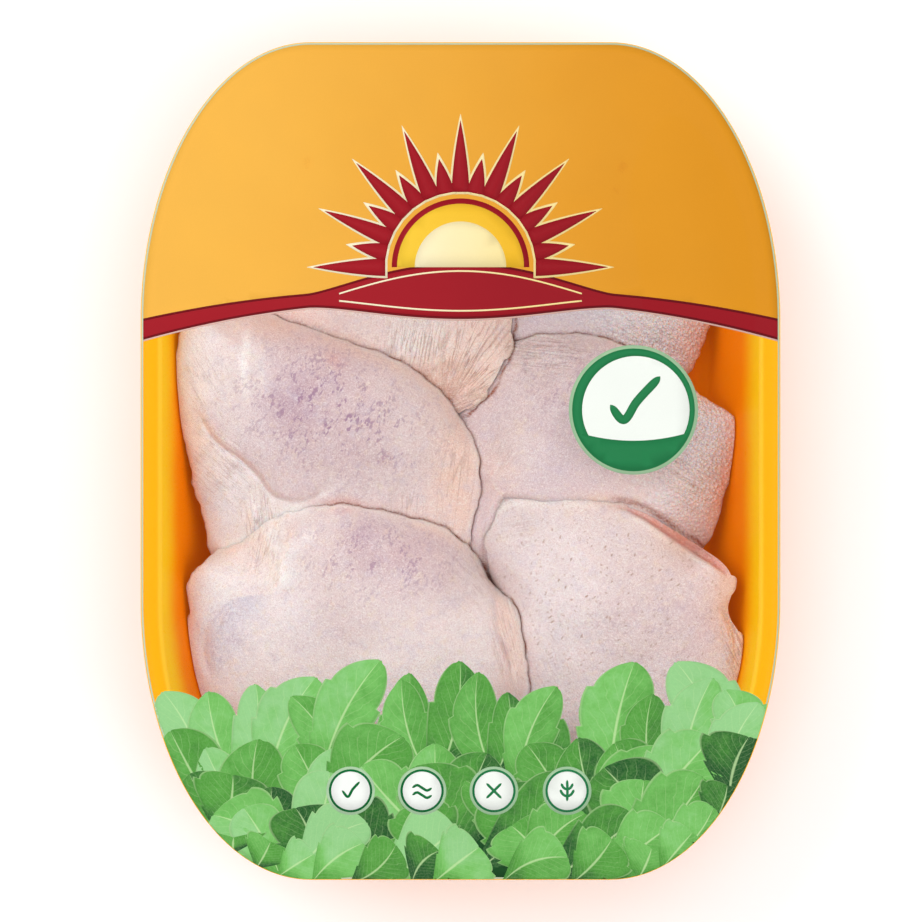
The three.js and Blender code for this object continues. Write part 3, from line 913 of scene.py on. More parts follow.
def makeLeafInk():
    material, tree, shader, place = newMaterial("leafInk", printShine)
    along, across, tone = [attribute(tree, name) for name in ("along", "across", "tone")]
    away = calc(tree, "ABSOLUTE", across)
    cloud = noise(tree, place, 0.22, 3, 0.6)
    share = calc(tree, "MULTIPLY_ADD", calc(tree, "SUBTRACT", cloud, 0.5), 0.4, tone)
    # one half catches more light
    share = calc(tree, "MULTIPLY_ADD", remap(tree, across, -0.15, 0.15), 0.16, share)
    share = calc(tree, "SUBTRACT", share, remap(tree, along, 0.55, 0.0, 0, 0.5))
    colour = mixColour(tree, remap(tree, share, 0.0, 0.45), leaves["dark"], leaves["middle"])
    colour = mixColour(tree, remap(tree, share, 0.4, 0.8), colour, leaves["bright"])
    colour = mixColour(tree, remap(tree, share, 0.7, 1.0), colour, leaves["pale"])
    vein = calc(tree, "SUBTRACT", calc(tree, "MULTIPLY", along, 11.0), calc(tree, "MULTIPLY", away, 2.4))
    vein = calc(tree, "ADD", vein, calc(tree, "MULTIPLY", noise(tree, place, 0.3, 2), 0.6))
    vein = calc(tree, "ABSOLUTE", calc(tree, "SUBTRACT", calc(tree, "FRACT", vein), 0.5))
    vein = calc(tree, "MULTIPLY", remap(tree, vein, 0.07, 0.0), remap(tree, away, 0.95, 0.5))
    colour = mixColour(tree, calc(tree, "MULTIPLY", vein, 0.22), colour, leaves["rib"])
    grit = remap(tree, noise(tree, place, 1.6, 2, 0.7), 0.35, 0.65)
    colour = mixColour(tree, calc(tree, "MULTIPLY", grit, 0.07), colour, leaves["rib"])
    rib = remap(tree, away, calc(tree, "MULTIPLY_ADD", along, -0.05, 0.08), 0.015)
    colour = mixColour(tree, calc(tree, "MULTIPLY", rib, 0.65), colour, leaves["rib"])
    edge = calc(tree, "MULTIPLY", remap(tree, away, 0.93, 0.98), remap(tree, along, 0.2, 0.6))
    colour = mixColour(tree, calc(tree, "MULTIPLY", edge, 0.5), colour, leaves["margin"])
    finishInk(tree, shader, colour, place, 0.16)
    letLightThrough(tree, shader)
    return material


def printLeaves():
    ground = smoothCurve(leaves["ground"], 2)
    outline = packRing(film["edge"] + 0.05, 40)
    low = outline[outline[:, 1] < np.interp(outline[:, 0], ground[:, 0], ground[:, 1]) - 0.5]
    low = low[np.argsort(np.arctan2(low[:, 1] + 80, low[:, 0]))]
    field = ground[insetAt(*ground.T) > 0.4][::-1]
    printShape("print_leaf_ground", np.concatenate([low, field]), 0.03, ink["leafGround"], 5)

    random = np.random.default_rng(leaves["seed"])
    rows = list(leaves["back"])
    for number, height, start, end, length, half in leaves["rows"]:
        for across in np.linspace(start, end, number):
            lean = random.uniform(-0.9, 0.9)
            long = length * random.uniform(0.75, 1.2)
            tip = np.array([across + random.uniform(-3, 3), height + random.uniform(-4, 4)])
            root = tip - long * np.array([math.sin(lean), math.cos(lean)])
            rows.append([root, tip, half * random.uniform(0.8, 1.25), random.integers(2, 5),
                         random.uniform(-0.14, 0.14), random.uniform(0.0, 1.05)])
    starts = clampToPack([row[0] for row in rows], -1)
    ends = clampToPack([row[1] for row in rows], 3)
    runs = ends - starts
    base = bpy.data.meshes.new("leafRoots")
    base.from_pydata([(x * mm, y * mm, i * leaves["layer"] * mm) for i, (x, y) in enumerate(starts)], [], [])
    for name, values in {
        "length": np.hypot(*runs.T) * mm, "turn": np.arctan2(runs[:, 1], runs[:, 0]),
        "half": np.array([row[2] for row in rows]) * mm, "lobes": [row[3] for row in rows],
        "bend": [row[4] for row in rows], "tone": [row[5] for row in rows],
    }.items():
        addAttribute(base, name, "FLOAT", values)
    leafInk = makeLeafInk()
    bed = grown("print_leaves", makeLeafTree(), base, {
        "Steps Along": leaves["stepsAlong"], "Steps Across": leaves["stepsAcross"],
        "Tooth Depth": leaves["toothDepth"], "Tooth Slant": leaves["toothSlant"], "Stem": leaves["stem"],
        "Ink": leafInk})
    layMesh("print_leaves", bed, 0.2, leafInk, ("along", "across", "tone"))
    print("leaves:", len(rows))


printSun()
printBadge()
printDiscs()
printLeaves()
print("signs and leaves ready")


# ---- thighs ----

skinTones = {
    "pale": rgb(234, 218, 217), "cream": rgb(250, 240, 236), "light": rgb(248, 240, 242),
    "lavender": rgb(214, 188, 194), "violet": rgb(196, 164, 182), "mauve": rgb(214, 190, 190),
    "flap": rgb(252, 224, 212), "dove": rgb(222, 204, 210), "cool": rgb(230, 234, 248),
    "blue": rgb(206, 206, 228), "blush": rgb(244, 214, 206), "peach": rgb(244, 206, 184),
    # warm and crease are painted shade along seams and under edges; white serves painted highlights and the pale
    # skin of veils
    "warmShade": rgb(228, 184, 162),
    "rose": rgb(222, 148, 136), "meat": rgb(196, 96, 84), "fat": rgb(238, 204, 156),
    "tan": rgb(206, 170, 156), "creaseShade": rgb(158, 84, 56), "white": rgb(252, 246, 244),
}

skinForm = {
    "around": 360, "rings": 120, "underRings": 10, "crowding": 1.35,
    "fullness": 2.3, "softening": 14, "spokes": 44,
    "flatFrom": 0.96, "gap": 0.1,  # between one thigh and the next, the tray and the film
    # how a thigh that lies on another presses it down beside its edge
    "thin": 0.22, "dip": 0.3, "dipReach": 2, "bank": 1.3,
    # how far the painted shade of a seam and the lighter painted band of an edge reach
    "creaseShadeReach": 0.45, "rimReach": 1.6,
    "ragged": 0.012,  # how uneven the outline is
}

# lines that several marks share: the front left thigh's hem and hollow, the front right one's torn edge, and
# the long fold of the middle left one
frontHem = [[10.9, -38.7], [11.5, -51.3], [13.3, -55.2], [15.1, -60.6], [15.8, -67.2]]
frontHollow = [
    [-67, -41.1], [-69.8, -42.3], [-73.6, -46.2], [-76.3, -49.2], [-77.5, -53.7], [-77.8, -58.2], [-75.1, -67.2]]
tornEdge = [[46, -13.2], [54.5, -16.8], [63, -22.4], [71.6, -28.2], [78.5, -32.9], [81.8, -36]]
longFold = [
    [-81.1, 16.8], [-78.1, 12.3], [-76, 8.7], [-73.6, 5.7], [-70.6, 3.3], [-66.1, 0.3], [-61.6, -4.2],
    [-57.1, -10.2], [-52.6, -12], [-46.6, -12], [-40.6, -7.2]]

# outline, middle, edge, lean, crown, belly and swells follow the frame's own thighs; the middle right one
# reaches further, and its swells and the front left one's are its skin's own.
# thinness: 1 for an edge that rises slowly, less for a fuller one. rim: tone and strength of the lighter band
# along its own edge, partly its colour and partly painted light.
# swells and rests: middle, reach, height; rests hold the edge up. faint: middle, reach, how hidden the seam.
# tones: name, middle, reach across and along, strength. streaks: name, line, half width, strength.
# sides: name, line, reach, strength, on the line's left, or on its right where the reach is below 0.
# veils: line, half width, strength of the thin skin that hides a join. folds: line, half width, height.
# steps: line, half width, height by which its left side stands up, reach.
# wrinkles: middle, reach across and along, the way that they run in degrees or the point that they fan out
# from, their spacing, strength. mottles, pores and bumps: middle, reach across and along, strength.
thighs = {
    "thigh_front_left": {
        "outline": [
            [20.6, -72], [19, -54], [16.2, -43.5], [10.5, -38], [5.5, -29.5], [-3.5, -21], [-18, -16.3],
            [-37, -13.2], [-55, -16.5], [-66, -23.5], [-76, -29], [-82, -35.5], [-82.7, -48], [-82.3, -61],
            [-78, -78], [-64, -95], [-38, -107], [-8, -106], [13, -94]],
        "middle": [-31, -58], "edge": 27, "lean": [0.06, 0.2], "crown": 14.5, "belly": 26,
        "swells": [[-18, -48, 20, 2], [-68, -57, 12, -2], [-50, -35, 9, -1.4], [-66, -32, 12, -4]],
        "thinness": 0.7, "rim": ["cream", 0.7],
        "rests": [],
        "faint": [[-57.8, -17.7, 16, 1.0], [-73.6, -26.1, 14, 0.6]],
        "base": "pale",
        "tones": [
            ["lavender", [-19.6, -30.3], 24, 11, 0.9], ["light", [-78, -54], 7, 30, 1.0],
            ["cool", [-70.6, -41.7], 14, 22, 0.6], ["blue", [-74.5, -53.7], 8, 12, 0.6],
            ["cool", [-48.1, -47.7], 12, 8, 0.4], ["cream", [-33.1, -41.7], 12, 8, 0.4],
            ["light", [-55.6, -41.7], 10, 18, 0.8],
            ["cream", [8.2, -38.7], 6, 13, 0.6], ["blush", [15.4, -59.7], 5, 22, 0.9],
            ["violet", [-28.6, -21.6], 6, 4, 0.6],
            ["cream", [-18.1, -59.7], 26, 12, 0.4], ["mauve", [-36.1, -47.7], 14, 12, 0.5],
            ["light", [-70.6, -34.2], 14, 16, 0.8], ["rose", [-34.6, -14.1], 7, 1.8, 0.5]],
        "streaks": [
            ["peach", [[-24.1, -15.3], [-6.1, -20.1], [7.9, -32.1], [13.7, -42.9], [19.1, -56.7],
                       [19.9, -73.2]], 2.2, 0.7],
            # the white of stretched skin, with a painted highlight along the folds
            ["white", [[-60.8, -14.7], [-58.3, -23.7], [-55.4, -31.5], [-52.9, -39.3]], 5, 1.0],
            ["white", [[-59.5, -34.2], [-51.1, -27.3], [-42.8, -20.1]], 2.2, 0.6],
            ["cream", [[-76, -29.7], [-66.1, -25.2], [-55.6, -17.7]], 2.0, 0.6],
            ["rose", [[11.8, -41.7], [12.8, -53.7], [15.4, -62.1]], 0.9, 0.35],
            ["cool", [[-81.1, -29.7], [-81.8, -41.7], [-81.8, -53.7], [-80.5, -65.7], [-76.6, -80.7]], 9,
             0.8]],
        "sides": [
            ["flap", frontHem, 9, 0.8],
            ["blue", [[-57, -40], *frontHollow], 9, 0.6]],
        "veils": [[[[-67.3, -23.7], [-60.8, -17.7], [-52.9, -14.1], [-44.5, -12.3]], 3.2, 0.9]],
        "folds": [
            [[[-60.8, -15.3], [-58.3, -23.7], [-55.4, -31.5], [-52.9, -39.3]], 2.4, 0.9],
            [[[-48.1, -17.7], [-51.8, -26.1], [-54.1, -35.7], [-59.5, -41.7]], 2, 0.7],
            [frontHem, 1.1, -0.9],
            [frontHollow, 1.5, -0.5],
            [[[-39.1, -20.7], [-24.1, -25.2], [-9.2, -34.2]], 6, 0.6]],
        "steps": [[frontHem, 1.4, -1.2, 8]],
        "wrinkles": [[[4.9, -33.3], 8, 10, -50, 0.9, 0.4], [[-59.5, -25.2], 7, 12, 78, 0.7, 0.5],
                     [[14.8, -53.7], 5, 16, -75, 0.8, 0.5]],
        "mottles": [[[-24.1, -29.7], 26, 13, 0.8], [[-70.6, -53.7], 6, 14, 0.4]],
        "pores": [[[-39.1, -41.7], 40, 30, 0.25]],
        "bumps": [],
    },
    "thigh_front_right": {
        "outline": [
            [83.3, -39.3], [82.4, -32.7], [72, -24.6], [54, -13.8], [42, -12], [28, -12], [13, -12.2],
            [9.5, -19],
            [7, -26.2], [8.4, -36], [11, -60], [14, -86], [30, -104], [54, -105], [74, -92], [84, -72],
            [87, -59.5], [85.6, -51.5], [80.6, -46]],
        "middle": [47, -55], "edge": 26, "lean": [0.2, 0.12], "crown": 14.5, "belly": 25,
        "swells": [[40, -45, 20, 1.4], [72, -62, 12, -1.2]],
        "thinness": 0.85, "rim": ["blush", 0.6],
        "rests": [],
        "faint": [[20.8, -13.5, 20, 0.75], [38.9, -12.3, 16, 0.6]],
        "base": "pale",
        "tones": [
            ["blush", [77.8, -44.7], 10, 20, 0.7], ["blush", [41.9, -14.1], 26, 3, 0.4],
            ["mauve", [59.8, -50], 22, 20, 0.6], ["lavender", [72, -50], 8, 14, 0.5],
            ["light", [29.8, -41.7], 12, 20, 0.5], ["light", [22, -52], 9, 14, 0.6],
            ["blush", [83.2, -41.7], 4, 10, 0.5]],
        "streaks": [
            ["cream", [[7.9, -23.7], [9.4, -16.2], [14.8, -12.9], [29.8, -12.6], [45.4, -12.6]], 1.6, 0.7],
            ["rose", [[56, -15.4], [64, -20.2], [72.5, -25.9], [79, -30.5], [82.4, -34.5]], 1.7, 1.0],
            ["meat", tornEdge, 0.45, 0.7],
            ["cream", [[45.4, -14.4], [54, -18.3], [62.2, -23.8], [71, -29.6], [77.8, -34.2]], 0.9, 0.6],
            ["peach", [[80.2, -41.7], [84.5, -50.7], [86, -61.2], [84.1, -68.7]], 2.2, 0.8]],
        "sides": [
            ["rose", tornEdge, 6, 0.8]],
        "veils": [],
        "folds": [
            [tornEdge, 0.6, -0.4],
            [[[78.5, -43.5], [82.6, -51.9], [83.2, -62.1]], 1.0, -0.7],
            [[[29.8, -29.7], [47.9, -41.7], [56.9, -59.7]], 8, 0.6]],
        "steps": [[tornEdge, 0.45, -2, 4]],
        "wrinkles": [[[83.2, -56.7], 4, 12, -62, 0.7, 0.7], [[74, -26.5], 9, 4, -34, 0.45, 0.7],
                     [[17.8, -19.7], 8, 4, 12, 0.8, 0.25], [[25.3, -56.7], 8, 14, -70, 1.2, 0.2]],
        "mottles": [[[56.9, -47.7], 24, 16, 0.3]],
        "pores": [[[44.9, -39.7], 42, 34, 1.1]],
        "bumps": [[[82.3, -53.7], 5, 12, 0.4]],
    },
    "thigh_middle_left": {
        "outline": [
            [6.2, -4.5], [4.8, 5], [0.5, 12.6], [-7, 21.9], [-17, 29.8], [-34.7, 36.5], [-48.2, 41.2],
            [-60, 45.6],
            [-71, 49.5], [-80, 46.5], [-84.6, 38], [-86.6, 27], [-85.6, 16], [-83, 4], [-81.4, -7],
            [-78.6, -16],
            [-75, -30], [-62, -40], [-38, -42], [-10, -36], [2, -26], [4.6, -16]],
        "middle": [-40, 6], "edge": 26, "lean": [-0.05, 0.2], "crown": 15, "belly": 25,
        "swells": [[-27, 6, 21, 1.8], [-68, -18, 14, -3], [-70, 28, 12, 1]],
        "thinness": 0.6, "rim": ["cream", 0.6],
        "rests": [],
        "faint": [[-6.1, -2.7, 14, 0.3], [-48.1, 36.3, 22, 0.3]],
        "base": "pale",
        "tones": [
            ["lavender", [-42.8, 19.8], 24, 20, 0.95], ["violet", [-52.4, 15.3], 8, 12, 0.55],
            ["light", [-74.2, 25.8], 9, 24, 0.8],
            ["light", [-71.5, -0.3], 13, 18, 0.9], ["cool", [-68, -18], 12, 12, 0.5],
            ["peach", [-0.8, -5.1], 8, 17, 1.0], ["peach", [-53.9, 41.7], 7, 3.5, 0.4],
            ["mauve", [-28.6, 1.8], 24, 12, 0.6], ["pale", [-12.2, 12.3], 10, 12, 0.3],
            ["lavender", [-38, 4], 16, 9, 0.4], ["cream", [-59.5, -15.3], 10, 8, 0.6],
            ["rose", [-36.8, -12.9], 6, 1.6, 0.7], ["rose", [-38.2, 30.9], 4, 3, 0.3],
            ["blush", [-6.1, -13.2], 10, 5, 0.6]],
        "streaks": [
            # a painted sheen down the thigh, and a painted highlight along its left edge
            ["white", [[-64.3, 40.8], [-64.6, 33.3], [-65, 24.9], [-64, 16.8]], 1.5, 1.0],
            ["white", [[-84.5, 34.8], [-83, 18.3], [-80, 3.3], [-77, -11.7], [-74.5, -25.2]], 1.2, 0.7],
            ["cream", [[-63.1, 34.8], [-59.5, 26.7], [-60.8, 18.3]], 2.5, 0.5],
            ["peach", [[-48.1, 39.3], [-34.6, 35.1], [-18.1, 28.5], [-7.9, 22.5], [-0.8, 13.5], [4, 4.2]],
             2.0, 0.5],
            # a painted highlight and painted shade on the two sides of the long fold's end
            ["white", [[-45.1, -12.3], [-39.1, -9], [-34.6, -5.7]], 0.7, 0.5],
            ["creaseShade", [[-52.6, -12.6], [-46.6, -12.6], [-41.5, -8.4]], 0.5, 0.4],
            ["cool", [[-79.3, 6.3], [-78.1, -5.7], [-75.8, -20.7]], 8, 0.7],
            ["cool", [[-83.5, 39.3], [-84.1, 27.3], [-82.3, 12.3]], 4, 0.5]],
        "sides": [
            ["lavender", longFold, 8, 0.5],
            ["light", longFold, -12, 0.6]],
        "veils": [[[[-80, -32], [-66, -24], [-55.6, -17.2], [-44, -13]], 2.4, 0.9]],
        "folds": [
            [longFold, 0.9, -0.8],
            [[[-63.1, -11.7], [-62.5, -20.7], [-61, -26.7], [-58.6, -32.7]], 1.3, 0.7],
            [[[-59.5, -13.2], [-58.3, -19.2], [-56.5, -23.7]], 1.0, -0.5],
            [[[-69.8, 37.8], [-66.1, 28.8], [-64.3, 18.3]], 2.6, 0.8],
            [[[-59.5, 34.8], [-57.8, 22.8], [-59.5, 10.8]], 3.0, -0.5]],
        "steps": [
            [longFold, 1.3, 1.6, 10]],
        "wrinkles": [[[-73.3, -1.9], 12, 15, -40, 0.55, 0.5], [[-1.1, -5.7], 6, 17, 80, 2.2, 0.4],
                     [[-10.7, -13.2], 12, 4, 84, 2, 0.45],
                     [[-60.8, -17.7], 6, 9, -85, 0.7, 0.7], [[-78.1, 24.3], 6, 14, -60, 0.7, 0.4]],
        "mottles": [[[-45.1, 18.3], 22, 18, 1.0], [[-24.1, 6.3], 20, 14, 0.6]],
        "pores": [[[-27.1, 6.3], 22, 16, 0.5]],
        "bumps": [],
    },
    "thigh_back_left": {
        "outline": [
            [18, 62], [15, 86], [0, 104], [-30, 110], [-58, 105], [-76, 88], [-83, 64], [-76, 43], [-60, 26],
            [-42, 16], [-20, 10], [-2, 12], [8.8, 19.8], [13.4, 28], [16.2, 36], [17.2, 45]],
        "middle": [-30, 58], "edge": 19, "lean": [0.08, 0.1], "crown": 15, "belly": 20,
        "swells": [[-36, 62, 22, 2.4], [6, 32, 10, -1.5]],
        "thinness": 0.9, "rim": ["peach", 0.7],
        "rests": [],
        "faint": [],
        "base": "blush",
        "tones": [
            ["cream", [-21.1, 34.8], 24, 11, 1.0], ["peach", [2.9, 27.3], 14, 12, 0.6],
            # painted shade where the middle left thigh's edge lies on this one: the warm and crease tones here
            ["warmShade", [-4.6, 22.8], 9, 8, 0.6], ["creaseShade", [-3.5, 18.6], 3, 4, 0.7],
            ["creaseShade", [-11, 26.2], 2.4, 2.4, 0.5],
            ["flap", [10, 35], 7, 10, 0.7], ["mauve", [-33.1, 40.8], 18, 5, 0.4]],
        # a warm line of painted shade under the middle left thigh's edge
        "streaks": [["warmShade", [[-48.1, 40.5], [-34.6, 35.7], [-18.1, 29.1], [-6.1, 21.3], [0.4, 13.8]], 2.2,
                     0.6],
                    ["cream", [[16.3, 41.7], [15.8, 34.8], [11.2, 26.7], [7.3, 20.7]], 1.2, 0.6]],
        "sides": [],
        "veils": [],
        "folds": [
            [[[-7.3, 24.9], [-8.5, 31.8], [-9.2, 37.8]], 0.9, -0.8],
            [[[-7, 33.3], [-3.1, 37.8], [0.4, 41.7]], 0.9, -0.7],
            [[[-4.6, 24.9], [5.8, 32.1], [12.8, 37.5]], 1.0, -0.9],
            [[[-1.1, 15], [4.3, 15.9], [8.8, 18.9]], 0.9, -0.7],
            [[[-0.1, 19.8], [5.2, 23.7], [11.2, 27.9]], 1.0, 0.7],
            [[[-18.1, 29.7], [-16.6, 34.8], [-16.9, 39.3]], 1.2, 0.5]],
        "steps": [],
        "wrinkles": [[[5.2, 30.9], 13, 14, [-6, 14], 0.85, 0.8], [[-13.7, 34.8], 12, 8, 80, 0.9, 0.7],
                     [[3.4, 16.8], 6, 4, 25, 0.8, 0.8]],
        "mottles": [[[-33.1, 39.3], 20, 6, 0.3]],
        "pores": [[[-3.1, 34.8], 22, 10, 0.3]],
        "bumps": [[[11.8, 39.3], 8, 6, 0.3]],
    },
    "thigh_middle_right": {
        "outline": [
            [84.6, 9], [84, 12.6], [78, 17], [68.9, 22.9], [55, 32.6], [43.5, 37.4], [30, 38.8], [16.4, 36.6],
            [2, 28], [-12, 12], [-20, -10], [-18, -32], [0, -46], [34, -46], [64, -38], [75.8, -24],
            [80.2, -11.6], [82.6, -2.5]],
        "middle": [47, 6], "edge": 18, "lean": [0.18, 0.2], "crown": 14.5, "belly": 20,
        "swells": [[34, 8, 22, 1.8], [70, 4, 12, -1], [34, -16, 20, 6], [66, -12, 12, 4]],
        "thinness": 0.75, "rim": ["cream", 0.6],
        "rests": [[2, -14, 26, 15]],
        "faint": [],
        "base": "dove",
        "tones": [
            ["pale", [24, 31], 20, 12, 0.8], ["lavender", [34, 22], 16, 10, 0.5],
            ["cool", [76.2, 3], 9, 20, 0.5], ["mauve", [20, 10], 18, 16, 0.5],
            ["light", [63.4, -11.7], 14, 7, 0.8],
            ["peach", [40.9, -11.7], 7, 2, 0.5], ["pale", [17.8, 6.3], 8, 18, 0.5],
            ["blush", [53.9, -5.7], 14, 8, 0.5],
            ["peach", [11.8, -4.2], 5, 8, 0.5]],
        "streaks": [["cream", [[16.9, 39.3], [29.8, 39.3], [44.9, 37.2], [53.9, 32.7]], 1.0, 0.5],
                    # painted shadow under the front right thigh's torn edge
                    ["creaseShade", [[44, -11], [52, -12.4], [60, -16.2], [67, -20.4]], 0.9, 0.7],
                    ["peach", [[82.3, 12.3], [81.5, 0.3], [78.5, -11.7], [73.3, -22.2]], 1.6, 0.6]],
        "sides": [],
        "veils": [],
        "folds": [
            [[[44.9, -11.7], [53.9, -13.2], [60.4, -16.5]], 0.8, -0.6],
            [[[16.3, 32.7], [23.8, 33.9], [31.3, 33.3]], 1.2, 0.6],
            [[[17.8, 26.7], [25.3, 28.5], [33.4, 28.5]], 1.2, -0.5]],
        "steps": [],
        "wrinkles": [[[25.3, 33.3], 16, 8, -6, 0.9, 0.55], [[71.8, -5.7], 10, 12, -30, 0.9, 0.5],
                     [[11.8, 3.3], 7, 16, 62, 0.5, 0.22]],
        "mottles": [[[29.8, 24.3], 18, 14, 0.5]],
        "pores": [[[68.8, 1.8], 14, 20, 1.2], [[38.9, 18.3], 30, 20, 0.3]],
        "bumps": [[[70.3, 3.3], 15, 22, 1.0], [[25.3, 34.8], 16, 8, 0.4]],
    },
    "thigh_back_right": {
        "outline": [
            [79, 56], [79, 76], [70, 95], [52, 108], [30, 106], [16, 88], [12, 62], [11, 44], [20, 30],
            [36, 22], [54, 20.5], [68, 25.4], [73.6, 33], [76.6, 43]],
        "middle": [46, 62], "edge": 15, "lean": [0.03, 0.1], "crown": 14, "belly": 17,
        "swells": [[44, 66, 20, 2]],
        "thinness": 0.65, "rim": ["blush", 0.5],
        "rests": [[14, 42, 14, 5]],
        "faint": [],
        "base": "dove",
        "tones": [["cool", [50, 40.8], 24, 8, 0.4], ["light", [54, 42], 12, 7, 0.6],
                  ["blush", [70.8, 34.3], 8, 8, 0.5]],
        "streaks": [["peach", [[76, 39.3], [73.3, 32.7], [68.8, 26.7]], 1.4, 0.5]],
        "sides": [],
        "veils": [],
        "folds": [[[[53.9, 39.3], [59.8, 35.7], [65.8, 30.3]], 1.0, -0.5]],
        "steps": [],
        "wrinkles": [[[56.9, 37.8], 18, 8, -30, 0.9, 0.5]],
        "mottles": [],
        "pores": [[[62.8, 37.8], 16, 10, 1.0]],
        "bumps": [[[61.3, 37.8], 22, 10, 1.0]],
    },
}


def mounds(places, x, y):
    # soft round mounds, each given by its middle, reach and height
    return sum(height * np.exp(-np.hypot(x - atX, y - atY) ** 2 / reach ** 2)
               for atX, atY, reach, height in places)


def fadeEnds(along, quickness=6):
    # 1 along a line and 0 at its two ends
    return np.clip(np.minimum(along, 1 - along) * quickness, 0, 1)


def makeForm(thigh):
    # spokes from the thigh's middle to its outline, and how long they are on the way to the top
    outline = evenly(smoothCurve(thigh["outline"], 0.8, closed=True), skinForm["around"], closed=True)
    x, y = outline.T
    outline = outline - thigh["middle"]
    outline *= 1 + skinForm["ragged"] * (softNoise(x, y, 3.5, 21) + 0.6 * softNoise(x, y, 1.7, 22))[:, None]
    angle = np.unwrap(np.arctan2(outline[:, 1], outline[:, 0]))
    waves = np.fft.rfft(np.hypot(*outline.T))
    order = np.minimum(np.arange(len(waves)), skinForm["spokes"] // 2)
    damping = np.cos(np.pi * order / skinForm["spokes"])
    table = [np.fft.irfft(waves * damping ** (2 * skinForm["softening"] * (1 - share)), skinForm["around"])
             for share in np.linspace(0, 1, 65)]
    return dict(thigh, angle=angle, table=np.array(table), lay=np.zeros(skinForm["around"]))


def between(values, spoke):
    # values given for each spoke, read between two spokes
    low = np.floor(spoke).astype(int)
    part = spoke - low
    left, right = low % skinForm["around"], (low + 1) % skinForm["around"]
    return values[..., left] * (1 - part) + values[..., right] * part


def lengthAt(form, share, spoke):
    row = np.clip(share, 0, 1) * (len(form["table"]) - 1)
    low = np.minimum(row.astype(int), len(form["table"]) - 2)
    part = row - low
    left = np.floor(spoke).astype(int)
    across = spoke - left
    left, right = left % skinForm["around"], (left + 1) % skinForm["around"]
    table = form["table"]
    first = table[low, left] * (1 - across) + table[low, right] * across
    second = table[low + 1, left] * (1 - across) + table[low + 1, right] * across
    return first * (1 - part) + second * part


def shareAt(form, x, y):
    # how far a point is from the middle (0) to the outline (1) and past it, and on which spoke
    awayX, awayY = x - form["middle"][0], y - form["middle"][1]
    start = form["angle"][0]
    angle = (np.arctan2(awayY, awayX) - start) % (2 * np.pi) + start
    spoke = np.interp(angle, np.append(form["angle"], start + 2 * np.pi), np.arange(skinForm["around"] + 1))
    away = np.hypot(awayX, awayY)
    share = away / lengthAt(form, np.ones(np.shape(x)), spoke)
    for _ in range(5):
        share = away / lengthAt(form, share, spoke)
    return share, spoke


def relief(form, x, y):
    # folds, steps and soft unevenness of the skin
    height = 0.35 * softNoise(x, y, 9, 3) + 0.16 * softNoise(x, y, 4, 4) + 0.05 * softNoise(x, y, 1.8, 5)
    for line, half, rise in form["folds"]:
        gap, _, along = distanceTo(smoothCurve(line, 1.5), x, y)
        height += rise * fadeEnds(along) * np.exp(-(gap / half) ** 2)
    for line, half, rise, reach in form["steps"]:
        gap, side, along = distanceTo(smoothCurve(line, 1.5), x, y)
        height += rise * fadeEnds(along, 5) * (np.tanh(side * gap / half) / 2) * np.exp(-(gap / reach) ** 2)
    return height


def edgeHeight(form, x, y, share, spoke):
    awayX, awayY = x - form["middle"][0], y - form["middle"][1]
    edge = form["edge"] + form["lean"][0] * awayX + form["lean"][1] * awayY
    return edge + mounds(form["rests"], x, y) + between(form["lay"], spoke) * np.clip(share, 0, 1) ** 6


def softMin(first, second, soft=0.6):
    low = np.minimum(first, second)
    return low - soft * np.log(np.exp((low - first) / soft) + np.exp((low - second) / soft))


def liftAt(form, share):
    # 0 at the outline to 1 in the middle; a thin edge rises more slowly
    return np.clip(1 - share ** skinForm["fullness"], 0, 1) ** form["thinness"]


def skinHeight(form, x, y, share, spoke):
    rise = form["crown"] + mounds(form["swells"], x, y)
    fade = np.clip((1 - share) / 0.06, 0, 1)
    return edgeHeight(form, x, y, share, spoke) + liftAt(form, share) * rise + fade * relief(form, x, y)


def underHeight(form, x, y, share, spoke):
    # flat for a short way in from the edge, so that the skin below it folds away out of sight
    inner = np.clip(share / skinForm["flatFrom"], 0, 1)
    return edgeHeight(form, x, y, share, spoke) - liftAt(form, inner) * form["belly"]


def seamStrength(form, x, y):
    # 1 where a thigh's edge shows plainly, less where it hardly does
    return np.clip(1 - mounds(form["faint"], x, y), 0, 1) * np.ones(np.shape(x))


def pressed(form, uppers, x, y, height):
    # the skin's height under the weight of the thighs on top, the way to their nearest edge, and how much
    # painted shade the seam gets there
    nearest, seamShade = np.full(np.shape(x), 99.0), np.zeros(np.shape(x))
    for upper in uppers:
        share, spoke = shareAt(upper, x, y)
        gap = (share - 1) * lengthAt(upper, np.ones(np.shape(x)), spoke)
        nearest = np.minimum(nearest, np.abs(gap))
        seam = seamStrength(upper, x, y)
        seamShade = np.maximum(seamShade, seam * np.exp(-(gap / skinForm["creaseShadeReach"]) ** 2))
        dip = skinForm["dip"] * np.maximum(seam, 0.1)
        height = height - dip * np.exp(-(np.maximum(gap, 0) / skinForm["dipReach"]) ** 2)
        under = underHeight(upper, x, y, np.minimum(share, 1), spoke) - skinForm["gap"]
        bank = under + skinForm["bank"] * np.maximum(gap, 0)
        height = np.where(share < 1, np.minimum(height, bank), softMin(height, bank + 0.4))
    return height, nearest, seamShade


def wallInset(height):
    # how far in from the outline the tray's inner wall is at a height
    return np.interp(height, [2.5, 4, 8.5, pack["height"] - 0.8], [24.5, 20.3, 18.5, film["rim"]])


